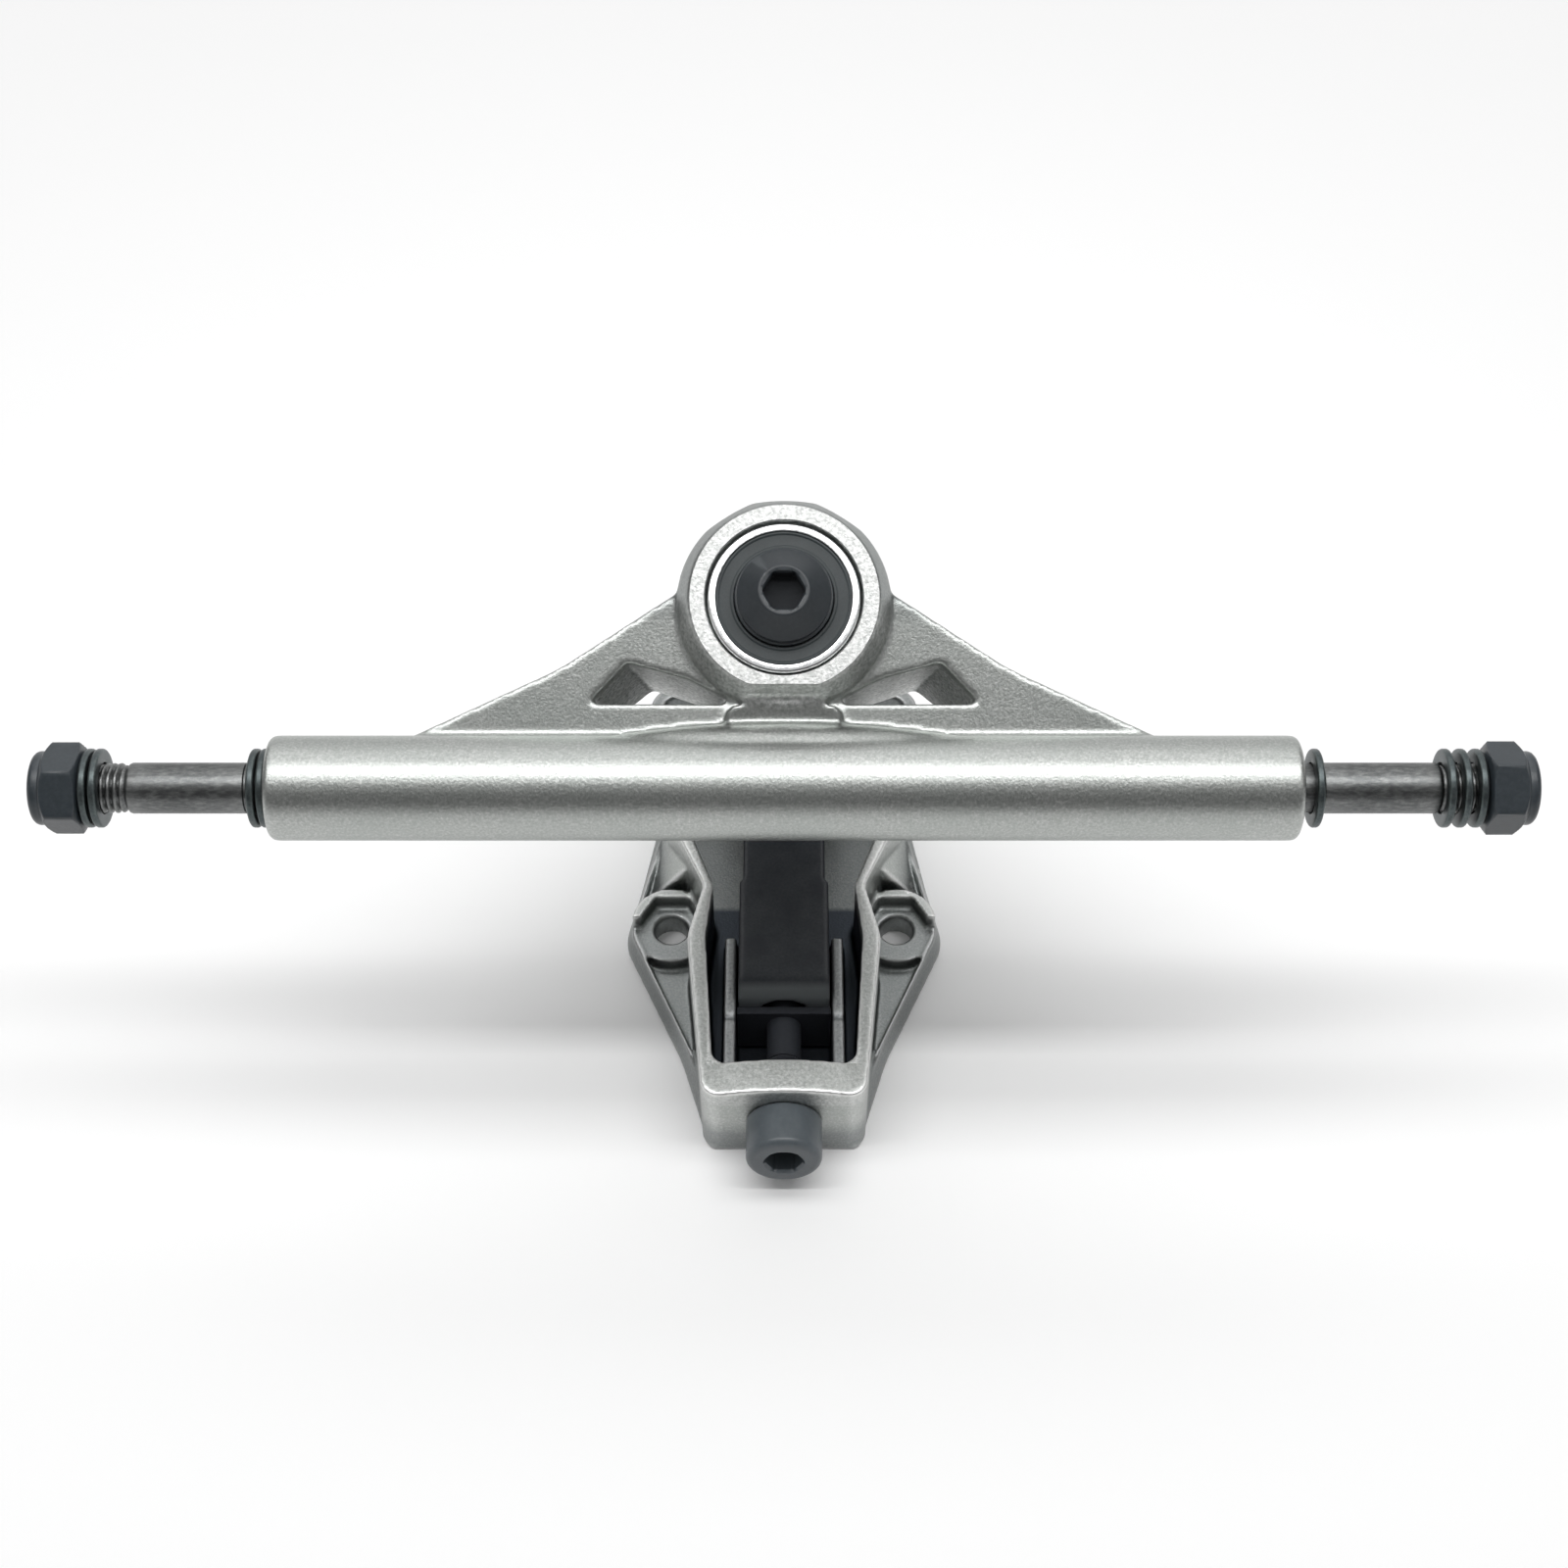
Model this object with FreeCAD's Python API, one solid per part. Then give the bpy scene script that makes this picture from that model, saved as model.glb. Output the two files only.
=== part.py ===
import FreeCAD, Part
import math
import os

# Front truck of a surf skateboard, in millimetres.
# The deck face lies on Z = 0 and the middle of the four deck holes is the origin.
# X runs along the axle, the nose points to -Y, and the pivot leans forward over the nose.
# What turns or stacks on the pivot is drawn upright about Z, then tilted onto it.

Vector = FreeCAD.Vector

# Deck holes, their pads and nut pockets
HOLE_SPACING_X = 41.3
HOLE_SPACING_Y = 54.0
HOLE_RADIUS = 3.0
HOLE_RIM = 0.4
PAD_RADIUS = 8.3
REAR_PAD_RADIUS = 6.6
PAD_FLOOR = 5.0
POCKET_FLATS = 10.4
POCKET_WALL = 3.0
POCKET_MOUTH = 0.6

# Baseplate flange
NOSE_REACH = 70.5
TAIL_REACH = 40.5
NOSE_HALF = 13.0
TAIL_HALF = 12.0
BEND_HALF = 18.2
BEND_ROUND = 40.0
WAIST_HALF = 23.2
WAIST_ROUND = 16.0
FLANGE_FLOOR = 2.6
FLANGE_RIM = 5.2
RIM_WIDTH = 1.7
RIM_FOOT = 1.4
RIM_DRAFT = 1.1
CORNER_ROUND = 1.6

# Channel walls, measured from the middle plane to the outer and inner faces
WALL_HEIGHT = 18.0
WALL = 3.3
CHANNEL_FLOOR = 2.2
NOSE_WALL = 6.5
NOSE_OUTER_HALF = 13.9
NOSE_CORNER = 3.2
NOSE_ARCH = 1.2
BELLY_HALF = 17.2
BELLY_REACH = 37.5
BELLY_ROUND = 8.0
PINCH_HALF = 14.5
PINCH_THICKNESS = 1.8
PINCH_REACH = 26.2
PINCH_ROUND = 4.0
FLARE_HALF = 21.9
FLARE_REACH = 9.0
FLARE_ROUND = 6.0
REAR_NECK_HALF = 13.6
REAR_NECK_REACH = 22.5
CAVITY_TAIL = 10.5
INNER_ROUND = 2.6
RAMP_TOP = 13.5
RAMP_HALF_LENGTH = 18.6
TAIL_SLOPE_START = 29.0
TAIL_SLOPE_FOOT = 8.0

# Guide ribs beside the return block
RIB_GAP = 0.4
RIB_WIDTH = 2.1
RIB_TOP = 15.0
RIB_TAIL_REACH = 29.0
RIB_SHOULDER_REACH = 36.0
RIB_NOTCH_REACH = 52.7
RIB_NOTCH = 0.7

# Pivot: where its axis meets the deck face, its lean and the stack on it
PIVOT_FOOT = 27.4
PIVOT_LEAN = 30.0
KINGPIN_RADIUS = 6.0
KINGPIN_HEAD_RADIUS = 8.0
KINGPIN_HEAD = 5.0
KINGPIN_SOCKET_FLATS = 8.0
KINGPIN_SOCKET = 3.0
RECESS_RISE = 10.6
RECESS_GAP = 0.4
SEAT_FLOOR = 5.4
SEAT_BOSS_RADIUS = 13.4
SEAT_WASHER = 1.2
SEAT_WASHER_RADIUS = 7.7
HUB_GAP = 1.0

# Hub of the hanger
HUB_LENGTH = 90.4
HUB_RADIUS = 14.5
HUB_CLEARANCE = 0.8
COLLAR_RADIUS = 15.0
COLLAR_HEIGHT = 4.0
BARREL_RADIUS = 17.0
BARREL_LENGTH = 24.0
BARREL_TAPER = 12.0
BARREL_FLAT = 16.2
BARREL_SIDE_FLAT = 16.45
BARREL_SIDE_TURN = 31.6
HUB_BORE_RADIUS = 10.2
HUB_CHAMFER = 0.5
BEARING_RECESS = 0.3
RACE_RELIEF = 0.45
RACE_RELIEF_DEPTH = 1.0

# Cam lug under the hub, which leans on the return block
LUG_REACH = 19.0
LUG_HALF = 10.0
LUG_RISE = 2.0
LUG_HEIGHT = 14.0
LUG_SLOPE = 6.0
LUG_ROUND = 1.4
LUG_CLEARANCE = 0.6
SWING_LIMIT = 30.0
SWING_MARGIN = 3.0

# Ball bearings, 12 x 24 x 6
BEARING_RADIUS = 12.0
BEARING_WIDTH = 6.0
OUTER_LAND_RADIUS = 10.3
INNER_LAND_RADIUS = 7.7
BALL_RADIUS = 1.75
BALL_COUNT = 10
GROOVE_GAP = 0.1
CAGE_HALF_THICKNESS = 0.55
CAGE_HALF_WIDTH = 2.1
CAGE_BALL_GAP = 0.12
SEAL_RADIUS = 10.65
SEAL_THICKNESS = 0.5
SEAL_RECESS = 0.25
SEAL_GAP = 0.15
FIT_GAP = 0.03
SPACER_WALL = 1.55

# Cap screw and washer on top of the pivot
CAP_WASHER = 0.8
CAP_WASHER_RADIUS = 7.75
CAP_HEAD_RADIUS = 7.4
CAP_HEAD_HEIGHT = 4.2
CAP_HEAD_ROUND = 3.4
CAP_SOCKET_FLATS = 5.8
CAP_SOCKET_DEPTH = 2.8
CAP_SOCKET_RIM = 0.35
CAP_THREAD_RADIUS = 3.9
CAP_THREAD_LENGTH = 16.0
THREAD_GAP = 0.08
KINGPIN_TOP_GAP = 0.5

# Axle tube, axle and its ends
AXLE_OFFSET = 29.2
AXLE_DROP = 6.2
AXLE_RADIUS = 4.0
AXLE_END = 36.0
AXLE_CHAMFER = 0.8
AXLE_THREAD_RADIUS = 3.65
AXLE_THREAD_LENGTH = 13.9
AXLE_THREAD_LEAD = 0.4
AXLE_RELIEF_RADIUS = 3.83
AXLE_RELIEF_LENGTH = 3.7
AXLE_RELIEF_START = 1.2
TUBE_RADIUS = 8.25
TUBE_LENGTH = 160.5
TUBE_CHAMFER = 0.6
NUT_FLATS = 12.7
LEFT_NUT_TURN = 11.0
RIGHT_NUT_TURN = -18.0
NUT_GRIP = 7.0
NUT_HEX_LENGTH = 6.0
NUT_COLLAR_LENGTH = 1.8
NUT_COLLAR_RADIUS = 5.8
NUT_COLLAR_ROUND = 0.9
NUT_BEVEL = 0.9
INSERT_RADIUS = 4.7
INSERT_LENGTH = 1.3
INSERT_LIP = 0.3
RING_RADIUS = 6.2
RING_BORE_GAP = 0.06
RING_THICKNESS = 1.2
RING_CHAMFER = 0.15
LEFT_INNER_RINGS = (0.15, 1.65)
RIGHT_INNER_RINGS = (2.1,)
LEFT_OUTER_RINGS = (0.2, 1.8)
RIGHT_OUTER_RINGS = (0.5, 2.95, 5.4)

# Web between the hub and the axle tube: depths below the ring face, outline from the axle
WEB_FACE = 7.0
WEB_HUB_FACE = 4.0
WEB_HUB_DEPTH = 27.0
WEB_TUBE_DEPTH = 14.0
WEB_TIP_DEPTH = 12.0
WEB_TIP_X = 64.0
WEB_TIP_RISE = 6.0
WEB_BEND_X = 35.3
WEB_BEND_RISE = 19.1
WEB_BEND_ROUND = 30.0
WEB_SHOULDER_X = 15.6
WEB_SHOULDER_RISE = 31.7
WINDOW_TIP_X = 31.6
WINDOW_SILL_RISE = 13.5
WINDOW_TOP_X = 25.2
WINDOW_TOP_RISE = 20.0
WINDOW_INNER_X = 15.4
WINDOW_INNER_RISE = 17.5
WINDOW_ROOT_X = 7.4
WINDOW_ROUND = 0.5
WINDOW_FOOT_TIP_X = 26.5
WINDOW_FOOT_TOP_X = 21.2
WINDOW_FOOT_TOP_RISE = 19.2
WINDOW_FOOT_INNER_RISE = 16.8
NECK_HALF = 5.6
NECK_WAIST_RISE = 13.2
NECK_FLARE_HALF = 9.0
NECK_FLARE_RISE = 12.3
NECK_ROUND = 1.5
NECK_CHORD = 13.9
NECK_SLOPE = 1.3
NECK_TOP_DEPTH = 3.4
NECK_FOOT_DEPTH = 5.2
SADDLE_HALF = 27.0
SADDLE_SHIFT = 2.15
SADDLE_RADIUS = 5.5

# Return block, coil spring, thrust cup and preload screw in the channel
BLOCK_HALF = 8.0
BLOCK_TAIL_HALF = 7.4
BLOCK_SHOULDER_REACH = 24.6
BLOCK_NOSE_ROOM = 14.4
BLOCK_TOP = 17.5
BLOCK_ROUND = 4.0
BLOCK_GAP = 0.3
BLOCK_BORE_RADIUS = 5.3
BLOCK_END_WALL = 12.2
SPRING_WIRE_RADIUS = 0.8
SPRING_OUTER_RADIUS = 5.1
SPRING_TURNS = 9
SCREW_HEIGHT = 9.4
SCREW_HEAD_RADIUS = 6.5
SCREW_HEAD = 8.0
SCREW_HEAD_ROUND = 1.2
SCREW_SOCKET_FLATS = 6.0
SCREW_SOCKET_DEPTH = 4.0
SCREW_RADIUS = 4.0
SCREW_PROUD = 5.2
SCREW_TIP_CHAMFER = 1.0
SCREW_SEAT_GAP = 0.1
CUP_STEM_RADIUS = 3.0
CUP_PLATE = 1.4
CUP_PLATE_HALF = 8.2
CUP_PLATE_FOOT = 3.0
CUP_PLATE_TOP = 13.4
CUP_PILOT_RADIUS = 3.2
CUP_PILOT = 5.0
CUP_GAP = 0.1

OVERRUN = 1.0
FULL_TURN = 360.0
HEX_SIDES = 6
UP = Vector(0, 0, 1)
FORWARD = Vector(0, -1, 0)
RIGHT = Vector(1, 0, 0)

# Worked out from the sizes above
HOLE_X = HOLE_SPACING_X / 2
HOLE_Y = HOLE_SPACING_Y / 2
SEAT = RECESS_RISE + SEAT_FLOOR
HUB_FOOT = SEAT + HUB_GAP
RING_FACE = HUB_FOOT + HUB_LENGTH
LOWER_BEARING = SEAT + SEAT_WASHER
UPPER_BEARING = RING_FACE - BEARING_RECESS - BEARING_WIDTH
CAP_SEAT = RING_FACE - BEARING_RECESS
AXLE_RISE = RING_FACE - AXLE_DROP
TUBE_END = TUBE_LENGTH / 2
AXLE_TIP = TUBE_END + AXLE_END
NUT_INNER_FACE = AXLE_TIP - NUT_GRIP
PITCH_RADIUS = (OUTER_LAND_RADIUS + INNER_LAND_RADIUS) / 2
LUG_FOOT = HUB_FOOT + LUG_RISE
COLLAR_FOOT = RING_FACE - COLLAR_HEIGHT
BARREL_FOOT = RING_FACE - BARREL_LENGTH
NOSE_INNER_REACH = NOSE_REACH - NOSE_WALL
BEND_REACH = (NOSE_REACH + HOLE_Y + PAD_RADIUS) / 2
BLOCK_NOSE_REACH = NOSE_INNER_REACH - BLOCK_NOSE_ROOM
PIVOT = FreeCAD.Placement(Vector(0, PIVOT_FOOT, 0), FreeCAD.Rotation(RIGHT, PIVOT_LEAN))


def on_pivot(shape):
    """Tilts a shape that was drawn about the upright Z axis onto the leaning pivot."""
    placed = shape.copy()
    placed.Placement = PIVOT.multiply(shape.Placement)
    return placed


def prism(face, low, high):
    """Extrudes a face that lies on zero upwards, from low to high."""
    solid = face.extrude(UP * (high - low))
    solid.translate(UP * low)
    return solid


def box(low, high):
    size = high - low
    return Part.makeBox(size.x, size.y, size.z, low)


def disc(radius, low, high, at=Vector(0, 0, 0)):
    return Part.makeCylinder(radius, high - low, at + UP * low)


def tube(outer, inner, low, high):
    return disc(outer, low, high).cut(disc(inner, low, high))


def rounded_outline(corners):
    """Closed wire through corners (x, y, radius), each corner rounded by its radius."""
    count = len(corners)
    places = [Vector(x, y, 0) for x, y, radius in corners]
    starts = []
    ends = []
    middles = []
    for index, here in enumerate(places):
        radius = corners[index][2]
        back = (places[index - 1] - here).normalize()
        ahead = (places[(index + 1) % count] - here).normalize()
        half = math.acos(max(-1.0, min(1.0, back.dot(ahead)))) / 2
        run = radius / math.tan(half)
        starts.append(here + back * run)
        ends.append(here + ahead * run)
        inward = (back + ahead).normalize()
        middles.append(here + inward * (radius / math.sin(half) - radius))
    edges = []
    for index in range(count):
        if corners[index][2] > 0:
            arc = Part.Arc(starts[index], middles[index], ends[index])
            edges.append(arc.toShape())
        edges.append(Part.LineSegment(ends[index], starts[(index + 1) % count]).toShape())
    return Part.Wire(edges)


def rounded_face(corners):
    return Part.Face(rounded_outline(corners))


def rounded_ring(right_side):
    """Closed wire whose right side is given from the nose to the tail, mirrored to the left."""
    left_side = [(-x, y, radius) for x, y, radius in reversed(right_side)]
    return rounded_outline(right_side + left_side)


def mirrored_face(right_side):
    return Part.Face(rounded_ring(right_side))


def turned(corners):
    """Solid of revolution about Z from corners (radius, height, rounding)."""
    face = rounded_face(corners)
    face.rotate(Vector(0, 0, 0), RIGHT, FULL_TURN / 4)
    return face.revolve(Vector(0, 0, 0), UP, FULL_TURN)


def side_prism(corners, half_width):
    """Extrudes corners (y, z, rounding) along X to both sides of the middle plane."""
    face = rounded_face(corners)
    face.rotate(Vector(0, 0, 0), UP, FULL_TURN / 4)
    face.rotate(Vector(0, 0, 0), FORWARD, -FULL_TURN / 4)
    solid = face.extrude(RIGHT * (2 * half_width))
    solid.translate(RIGHT * -half_width)
    return solid


def hexagon_face(flats, turn=0):
    """Hexagon with two sides parallel to X, turned by an angle."""
    reach = flats / math.sqrt(3)
    corners = []
    for side in range(HEX_SIDES):
        angle = math.radians(side * FULL_TURN / HEX_SIDES + turn)
        corners.append(Vector(reach * math.cos(angle), reach * math.sin(angle), 0))
    return Part.Face(Part.makePolygon(corners + corners[:1]))


def hexagon_prism(flats, low, high, turn=0):
    return prism(hexagon_face(flats, turn), low, high)


def crossing(point, heading, other, other_heading):
    """Where two lines in the plane cross."""
    gap = other - point
    across = heading.x * other_heading.y - heading.y * other_heading.x
    along = (gap.x * other_heading.y - gap.y * other_heading.x) / across
    return point + heading * along


def grazing(point, centre, radius, side):
    """Heading from a point that grazes a circle, on its left for side 1 or right for -1."""
    reach = centre - point
    angle = math.atan2(reach.y, reach.x) + side * math.asin(radius / reach.Length)
    return Vector(math.cos(angle), math.sin(angle), 0)


def pad_corner(before, after, centre, radius):
    """Outline corner that, rounded by the radius, runs round the pad at the centre."""
    first = grazing(before, centre, radius, -1)
    second = grazing(after, centre, radius, 1)
    corner = crossing(before, first, after, second)
    return (corner.x, corner.y, radius)


def flange_outline(inset):
    """Right side of the flange from nose to tail, moved inward by the inset."""
    nose = Vector(NOSE_HALF - inset, -NOSE_REACH + inset, 0)
    bend = Vector(BEND_HALF - inset, -BEND_REACH, 0)
    waist = Vector(WAIST_HALF - inset, 0, 0)
    tail = Vector(TAIL_HALF - inset, TAIL_REACH - inset, 0)
    front_hole = Vector(HOLE_X, -HOLE_Y, 0)
    rear_hole = Vector(HOLE_X, HOLE_Y, 0)
    return [
        (nose.x, nose.y, CORNER_ROUND),
        (bend.x, bend.y, BEND_ROUND),
        pad_corner(bend, waist, front_hole, PAD_RADIUS - inset),
        (waist.x, waist.y, WAIST_ROUND),
        pad_corner(waist, tail, rear_hole, REAR_PAD_RADIUS - inset),
        (tail.x, tail.y, CORNER_ROUND),
    ]


def wall_outline():
    """Right side of the outer face of the channel walls, nose to tail."""
    return [
        (NOSE_OUTER_HALF, -NOSE_REACH, NOSE_CORNER),
        (BELLY_HALF, -BELLY_REACH, BELLY_ROUND),
        (PINCH_HALF, -PINCH_REACH, PINCH_ROUND),
        (FLARE_HALF, -FLARE_REACH, FLARE_ROUND),
        (FLARE_HALF, FLARE_REACH, FLARE_ROUND),
        (REAR_NECK_HALF, REAR_NECK_REACH, PINCH_ROUND),
        (TAIL_HALF, TAIL_REACH, NOSE_CORNER),
    ]


def cavity_outline():
    """Right side of the inner face of the channel walls, nose to the seat boss."""
    return [
        (NOSE_OUTER_HALF - WALL / 2, -NOSE_INNER_REACH, INNER_ROUND),
        (BELLY_HALF - WALL, -BELLY_REACH, BELLY_ROUND),
        (PINCH_HALF - PINCH_THICKNESS, -PINCH_REACH, PINCH_ROUND),
        (FLARE_HALF - WALL + RIB_GAP, -FLARE_REACH, FLARE_ROUND - WALL),
        (FLARE_HALF - WALL + RIB_GAP, FLARE_REACH, INNER_ROUND),
        (REAR_NECK_HALF - WALL, CAVITY_TAIL, INNER_ROUND),
    ]


def deck_flange():
    """Flange with a sunk floor inside a raised rim whose outer side slopes in towards its top."""
    plate = prism(mirrored_face(flange_outline(0)), 0, RIM_FOOT)
    wires = []
    for inset, height in ((0, RIM_FOOT), (RIM_DRAFT, FLANGE_RIM)):
        wire = rounded_ring(flange_outline(inset))
        wire.translate(UP * height)
        wires.append(wire)
    plate = plate.fuse(Part.makeLoft(wires, True, True))
    floor = prism(mirrored_face(flange_outline(RIM_WIDTH)), FLANGE_FLOOR, FLANGE_RIM + OVERRUN)
    return plate.cut(floor)


def side_ramps():
    """Sloping shoulders between the front and rear pads, up against the channel walls."""
    slope = Part.makePolygon([
        Vector(0, 0, 0),
        Vector(WAIST_HALF + FLANGE_RIM, 0, 0),
        Vector(WAIST_HALF, 0, FLANGE_RIM),
        Vector(BELLY_HALF, 0, RAMP_TOP),
        Vector(0, 0, RAMP_TOP),
        Vector(0, 0, 0),
    ])
    right = Part.Face(slope).extrude(Vector(0, 2 * RAMP_HALF_LENGTH, 0))
    right.translate(Vector(0, -RAMP_HALF_LENGTH, 0))
    both = right.fuse(right.mirror(Vector(0, 0, 0), RIGHT))
    return both.common(prism(mirrored_face(flange_outline(0)), 0, WALL_HEIGHT))


def hole_places():
    return [(x, y) for x in (-HOLE_X, HOLE_X) for y in (-HOLE_Y, HOLE_Y)]


def pads():
    """Round pads under the deck nuts, with a hexagon wall behind each front pocket."""
    solids = []
    for x, y in hole_places():
        centre = Vector(x, y, 0)
        radius = (PAD_RADIUS if y < 0 else REAR_PAD_RADIUS) - RIM_DRAFT
        solids.append(disc(radius, 0, PAD_FLOOR, centre))
        if y < 0:
            rim = disc(radius, PAD_FLOOR, PAD_FLOOR + POCKET_WALL, centre)
            front = box(
                Vector(x - radius - OVERRUN, y - radius - OVERRUN, 0),
                Vector(x + radius + OVERRUN, y + POCKET_MOUTH, WALL_HEIGHT),
            )
            solids.append(rim.cut(front))
    return solids


def pocket_cuts():
    """Deck holes with rounded rims, and the hexagon pockets that hold the nuts."""
    cuts = []
    for x, y in hole_places():
        centre = Vector(x, y, 0)
        cuts.append(disc(HOLE_RADIUS, -OVERRUN, PAD_FLOOR + OVERRUN, centre))
        rim = Part.makeCone(HOLE_RADIUS, HOLE_RADIUS + HOLE_RIM, HOLE_RIM, UP * (PAD_FLOOR - HOLE_RIM))
        cuts.append(rim.translated(centre))
        pocket = hexagon_prism(POCKET_FLATS, PAD_FLOOR, WALL_HEIGHT + NOSE_ARCH + OVERRUN)
        cuts.append(pocket.translated(centre))
    return cuts


def nose_arch():
    """Low arch along the top of the nose wall."""
    half = NOSE_OUTER_HALF - NOSE_CORNER
    low = Vector(-half, 0, WALL_HEIGHT)
    top = Vector(0, 0, WALL_HEIGHT + NOSE_ARCH)
    high = Vector(half, 0, WALL_HEIGHT)
    edges = [Part.Arc(low, top, high).toShape(), Part.LineSegment(high, low).toShape()]
    arch = Part.Face(Part.Wire(edges)).extrude(Vector(0, NOSE_WALL, 0))
    arch.translate(Vector(0, -NOSE_REACH, 0))
    return arch


def guide_ribs():
    """Two ribs beside the return block, sloped off at the tail and notched near the nose."""
    rib = side_prism([
        (-NOSE_INNER_REACH - OVERRUN, CHANNEL_FLOOR, 0),
        (-RIB_TAIL_REACH, CHANNEL_FLOOR, 0),
        (-RIB_SHOULDER_REACH, RIB_TOP, 0),
        (-RIB_NOTCH_REACH + RIB_NOTCH, RIB_TOP, 0),
        (-RIB_NOTCH_REACH, RIB_TOP - RIB_NOTCH, 0),
        (-RIB_NOTCH_REACH - RIB_NOTCH, RIB_TOP, 0),
        (-NOSE_INNER_REACH - OVERRUN, RIB_TOP, 0),
    ], RIB_WIDTH / 2)
    middle = BLOCK_HALF + RIB_GAP + RIB_WIDTH / 2
    return [rib.translated(RIGHT * side * middle) for side in (-1, 1)]


def swing_room():
    """Space swept by the hub and its lug over the hanger's whole swing."""
    reach = math.hypot(LUG_HALF, LUG_REACH) + LUG_CLEARANCE
    hub_room = HUB_RADIUS + HUB_CLEARANCE
    half_angle = math.degrees(math.asin(LUG_HALF / hub_room)) + SWING_LIMIT + SWING_MARGIN
    hub = disc(hub_room, SEAT, RING_FACE)
    sector = Part.makeCylinder(reach, HUB_LENGTH, UP * (LUG_FOOT - LUG_CLEARANCE), UP, 2 * half_angle)
    sector.rotate(Vector(0, 0, 0), UP, -FULL_TURN / 4 - half_angle)
    return on_pivot(hub.fuse(sector))


def tail_slope():
    """Wedge taken off the top of the tail."""
    edge = TAIL_REACH + OVERRUN
    top = WALL_HEIGHT + NOSE_ARCH + OVERRUN
    corners = [
        (TAIL_SLOPE_START, WALL_HEIGHT, 0),
        (edge, TAIL_SLOPE_FOOT, 0),
        (edge, top, 0),
        (TAIL_SLOPE_START, top, 0),
    ]
    return side_prism(corners, FLARE_HALF + PAD_RADIUS)


def seat_boss():
    """Leaning boss that carries the pivot stack, trimmed to the footprint of the base."""
    boss = on_pivot(disc(SEAT_BOSS_RADIUS, -SEAT_BOSS_RADIUS, SEAT))
    return boss.common(prism(mirrored_face(wall_outline()), 0, 2 * WALL_HEIGHT))


def baseplate():
    """Cast baseplate: flange, pads, channel with its nose wall, and the pivot seat."""
    block = prism(mirrored_face(wall_outline()), 0, WALL_HEIGHT)
    block = block.fuse([nose_arch()])
    block = block.cut(tail_slope())
    cavity = prism(mirrored_face(cavity_outline()), CHANNEL_FLOOR, WALL_HEIGHT + NOSE_ARCH + OVERRUN)
    body = deck_flange().fuse([side_ramps(), block]).cut(cavity)
    body = body.fuse(pads() + guide_ribs() + [seat_boss()])
    body = body.cut(pocket_cuts() + [swing_room()])
    bore = on_pivot(disc(KINGPIN_RADIUS + FIT_GAP, -SEAT, SEAT + OVERRUN))
    recess = on_pivot(disc(KINGPIN_HEAD_RADIUS + RECESS_GAP, -SEAT, RECESS_RISE))
    screw_hole = Part.makeCylinder(
        SCREW_RADIUS + THREAD_GAP / 2,
        NOSE_WALL + 2 * OVERRUN,
        Vector(0, -NOSE_REACH - OVERRUN, SCREW_HEIGHT),
        -FORWARD,
    )
    return body.cut([bore, recess, screw_hole]).removeSplitter()


def hub_body():
    """Hub whose barrel tapers up to the ring, with flats on its back and a chord at the neck."""
    profile = [
        (0, HUB_FOOT, 0),
        (HUB_RADIUS - HUB_CHAMFER, HUB_FOOT, 0),
        (HUB_RADIUS, HUB_FOOT + HUB_CHAMFER, 0),
        (HUB_RADIUS, BARREL_FOOT - BARREL_TAPER, 0),
        (BARREL_RADIUS, BARREL_FOOT, 0),
        (BARREL_RADIUS, COLLAR_FOOT, 0),
        (COLLAR_RADIUS, RING_FACE, 0),
        (0, RING_FACE, 0),
    ]
    body = turned(profile)
    side = BARREL_SIDE_TURN
    flats = ((0, BARREL_FLAT), (side, BARREL_SIDE_FLAT), (-side, BARREL_SIDE_FLAT))
    for turn, reach in flats:
        back = box(
            Vector(-BARREL_RADIUS, reach, HUB_FOOT),
            Vector(BARREL_RADIUS, BARREL_RADIUS + OVERRUN, RING_FACE + OVERRUN),
        )
        back.rotate(Vector(0, 0, 0), UP, turn)
        body = body.cut(back)
    front = side_prism([
        (-NECK_CHORD, RING_FACE + OVERRUN, 0),
        (-NECK_CHORD, RING_FACE, 0),
        (-NECK_CHORD - NECK_SLOPE, RING_FACE - NECK_TOP_DEPTH, 0),
        (-BARREL_RADIUS - OVERRUN, RING_FACE - NECK_TOP_DEPTH, 0),
        (-BARREL_RADIUS - OVERRUN, RING_FACE + OVERRUN, 0),
    ], BARREL_RADIUS)
    return body.cut(front)


def cam_lug():
    """Flat-faced lug on the front of the hub's foot, sloped off at its top."""
    root = HUB_RADIUS / 2
    top = LUG_FOOT + LUG_HEIGHT
    corners = [
        (-LUG_REACH, LUG_FOOT, 0),
        (-root, LUG_FOOT, 0),
        (-root, top + LUG_SLOPE, 0),
        (-HUB_RADIUS + LUG_ROUND, top + LUG_SLOPE, 0),
        (-LUG_REACH, top, 0),
    ]
    plan = rounded_face([
        (-LUG_HALF, -LUG_REACH, LUG_ROUND),
        (LUG_HALF, -LUG_REACH, LUG_ROUND),
        (LUG_HALF, 0, 0),
        (-LUG_HALF, 0, 0),
    ])
    return side_prism(corners, LUG_HALF).common(prism(plan, LUG_FOOT, top + LUG_SLOPE))


def web_plan():
    """Outline of the web seen along the pivot, from the tube up to the hub."""
    axle = -AXLE_OFFSET
    return mirrored_face([
        (WEB_TIP_X, axle, 0),
        (WEB_TIP_X, axle + WEB_TIP_RISE, 0),
        (WEB_BEND_X, axle + WEB_BEND_RISE, WEB_BEND_ROUND),
        (WEB_SHOULDER_X, axle + WEB_SHOULDER_RISE, 0),
    ])


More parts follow.
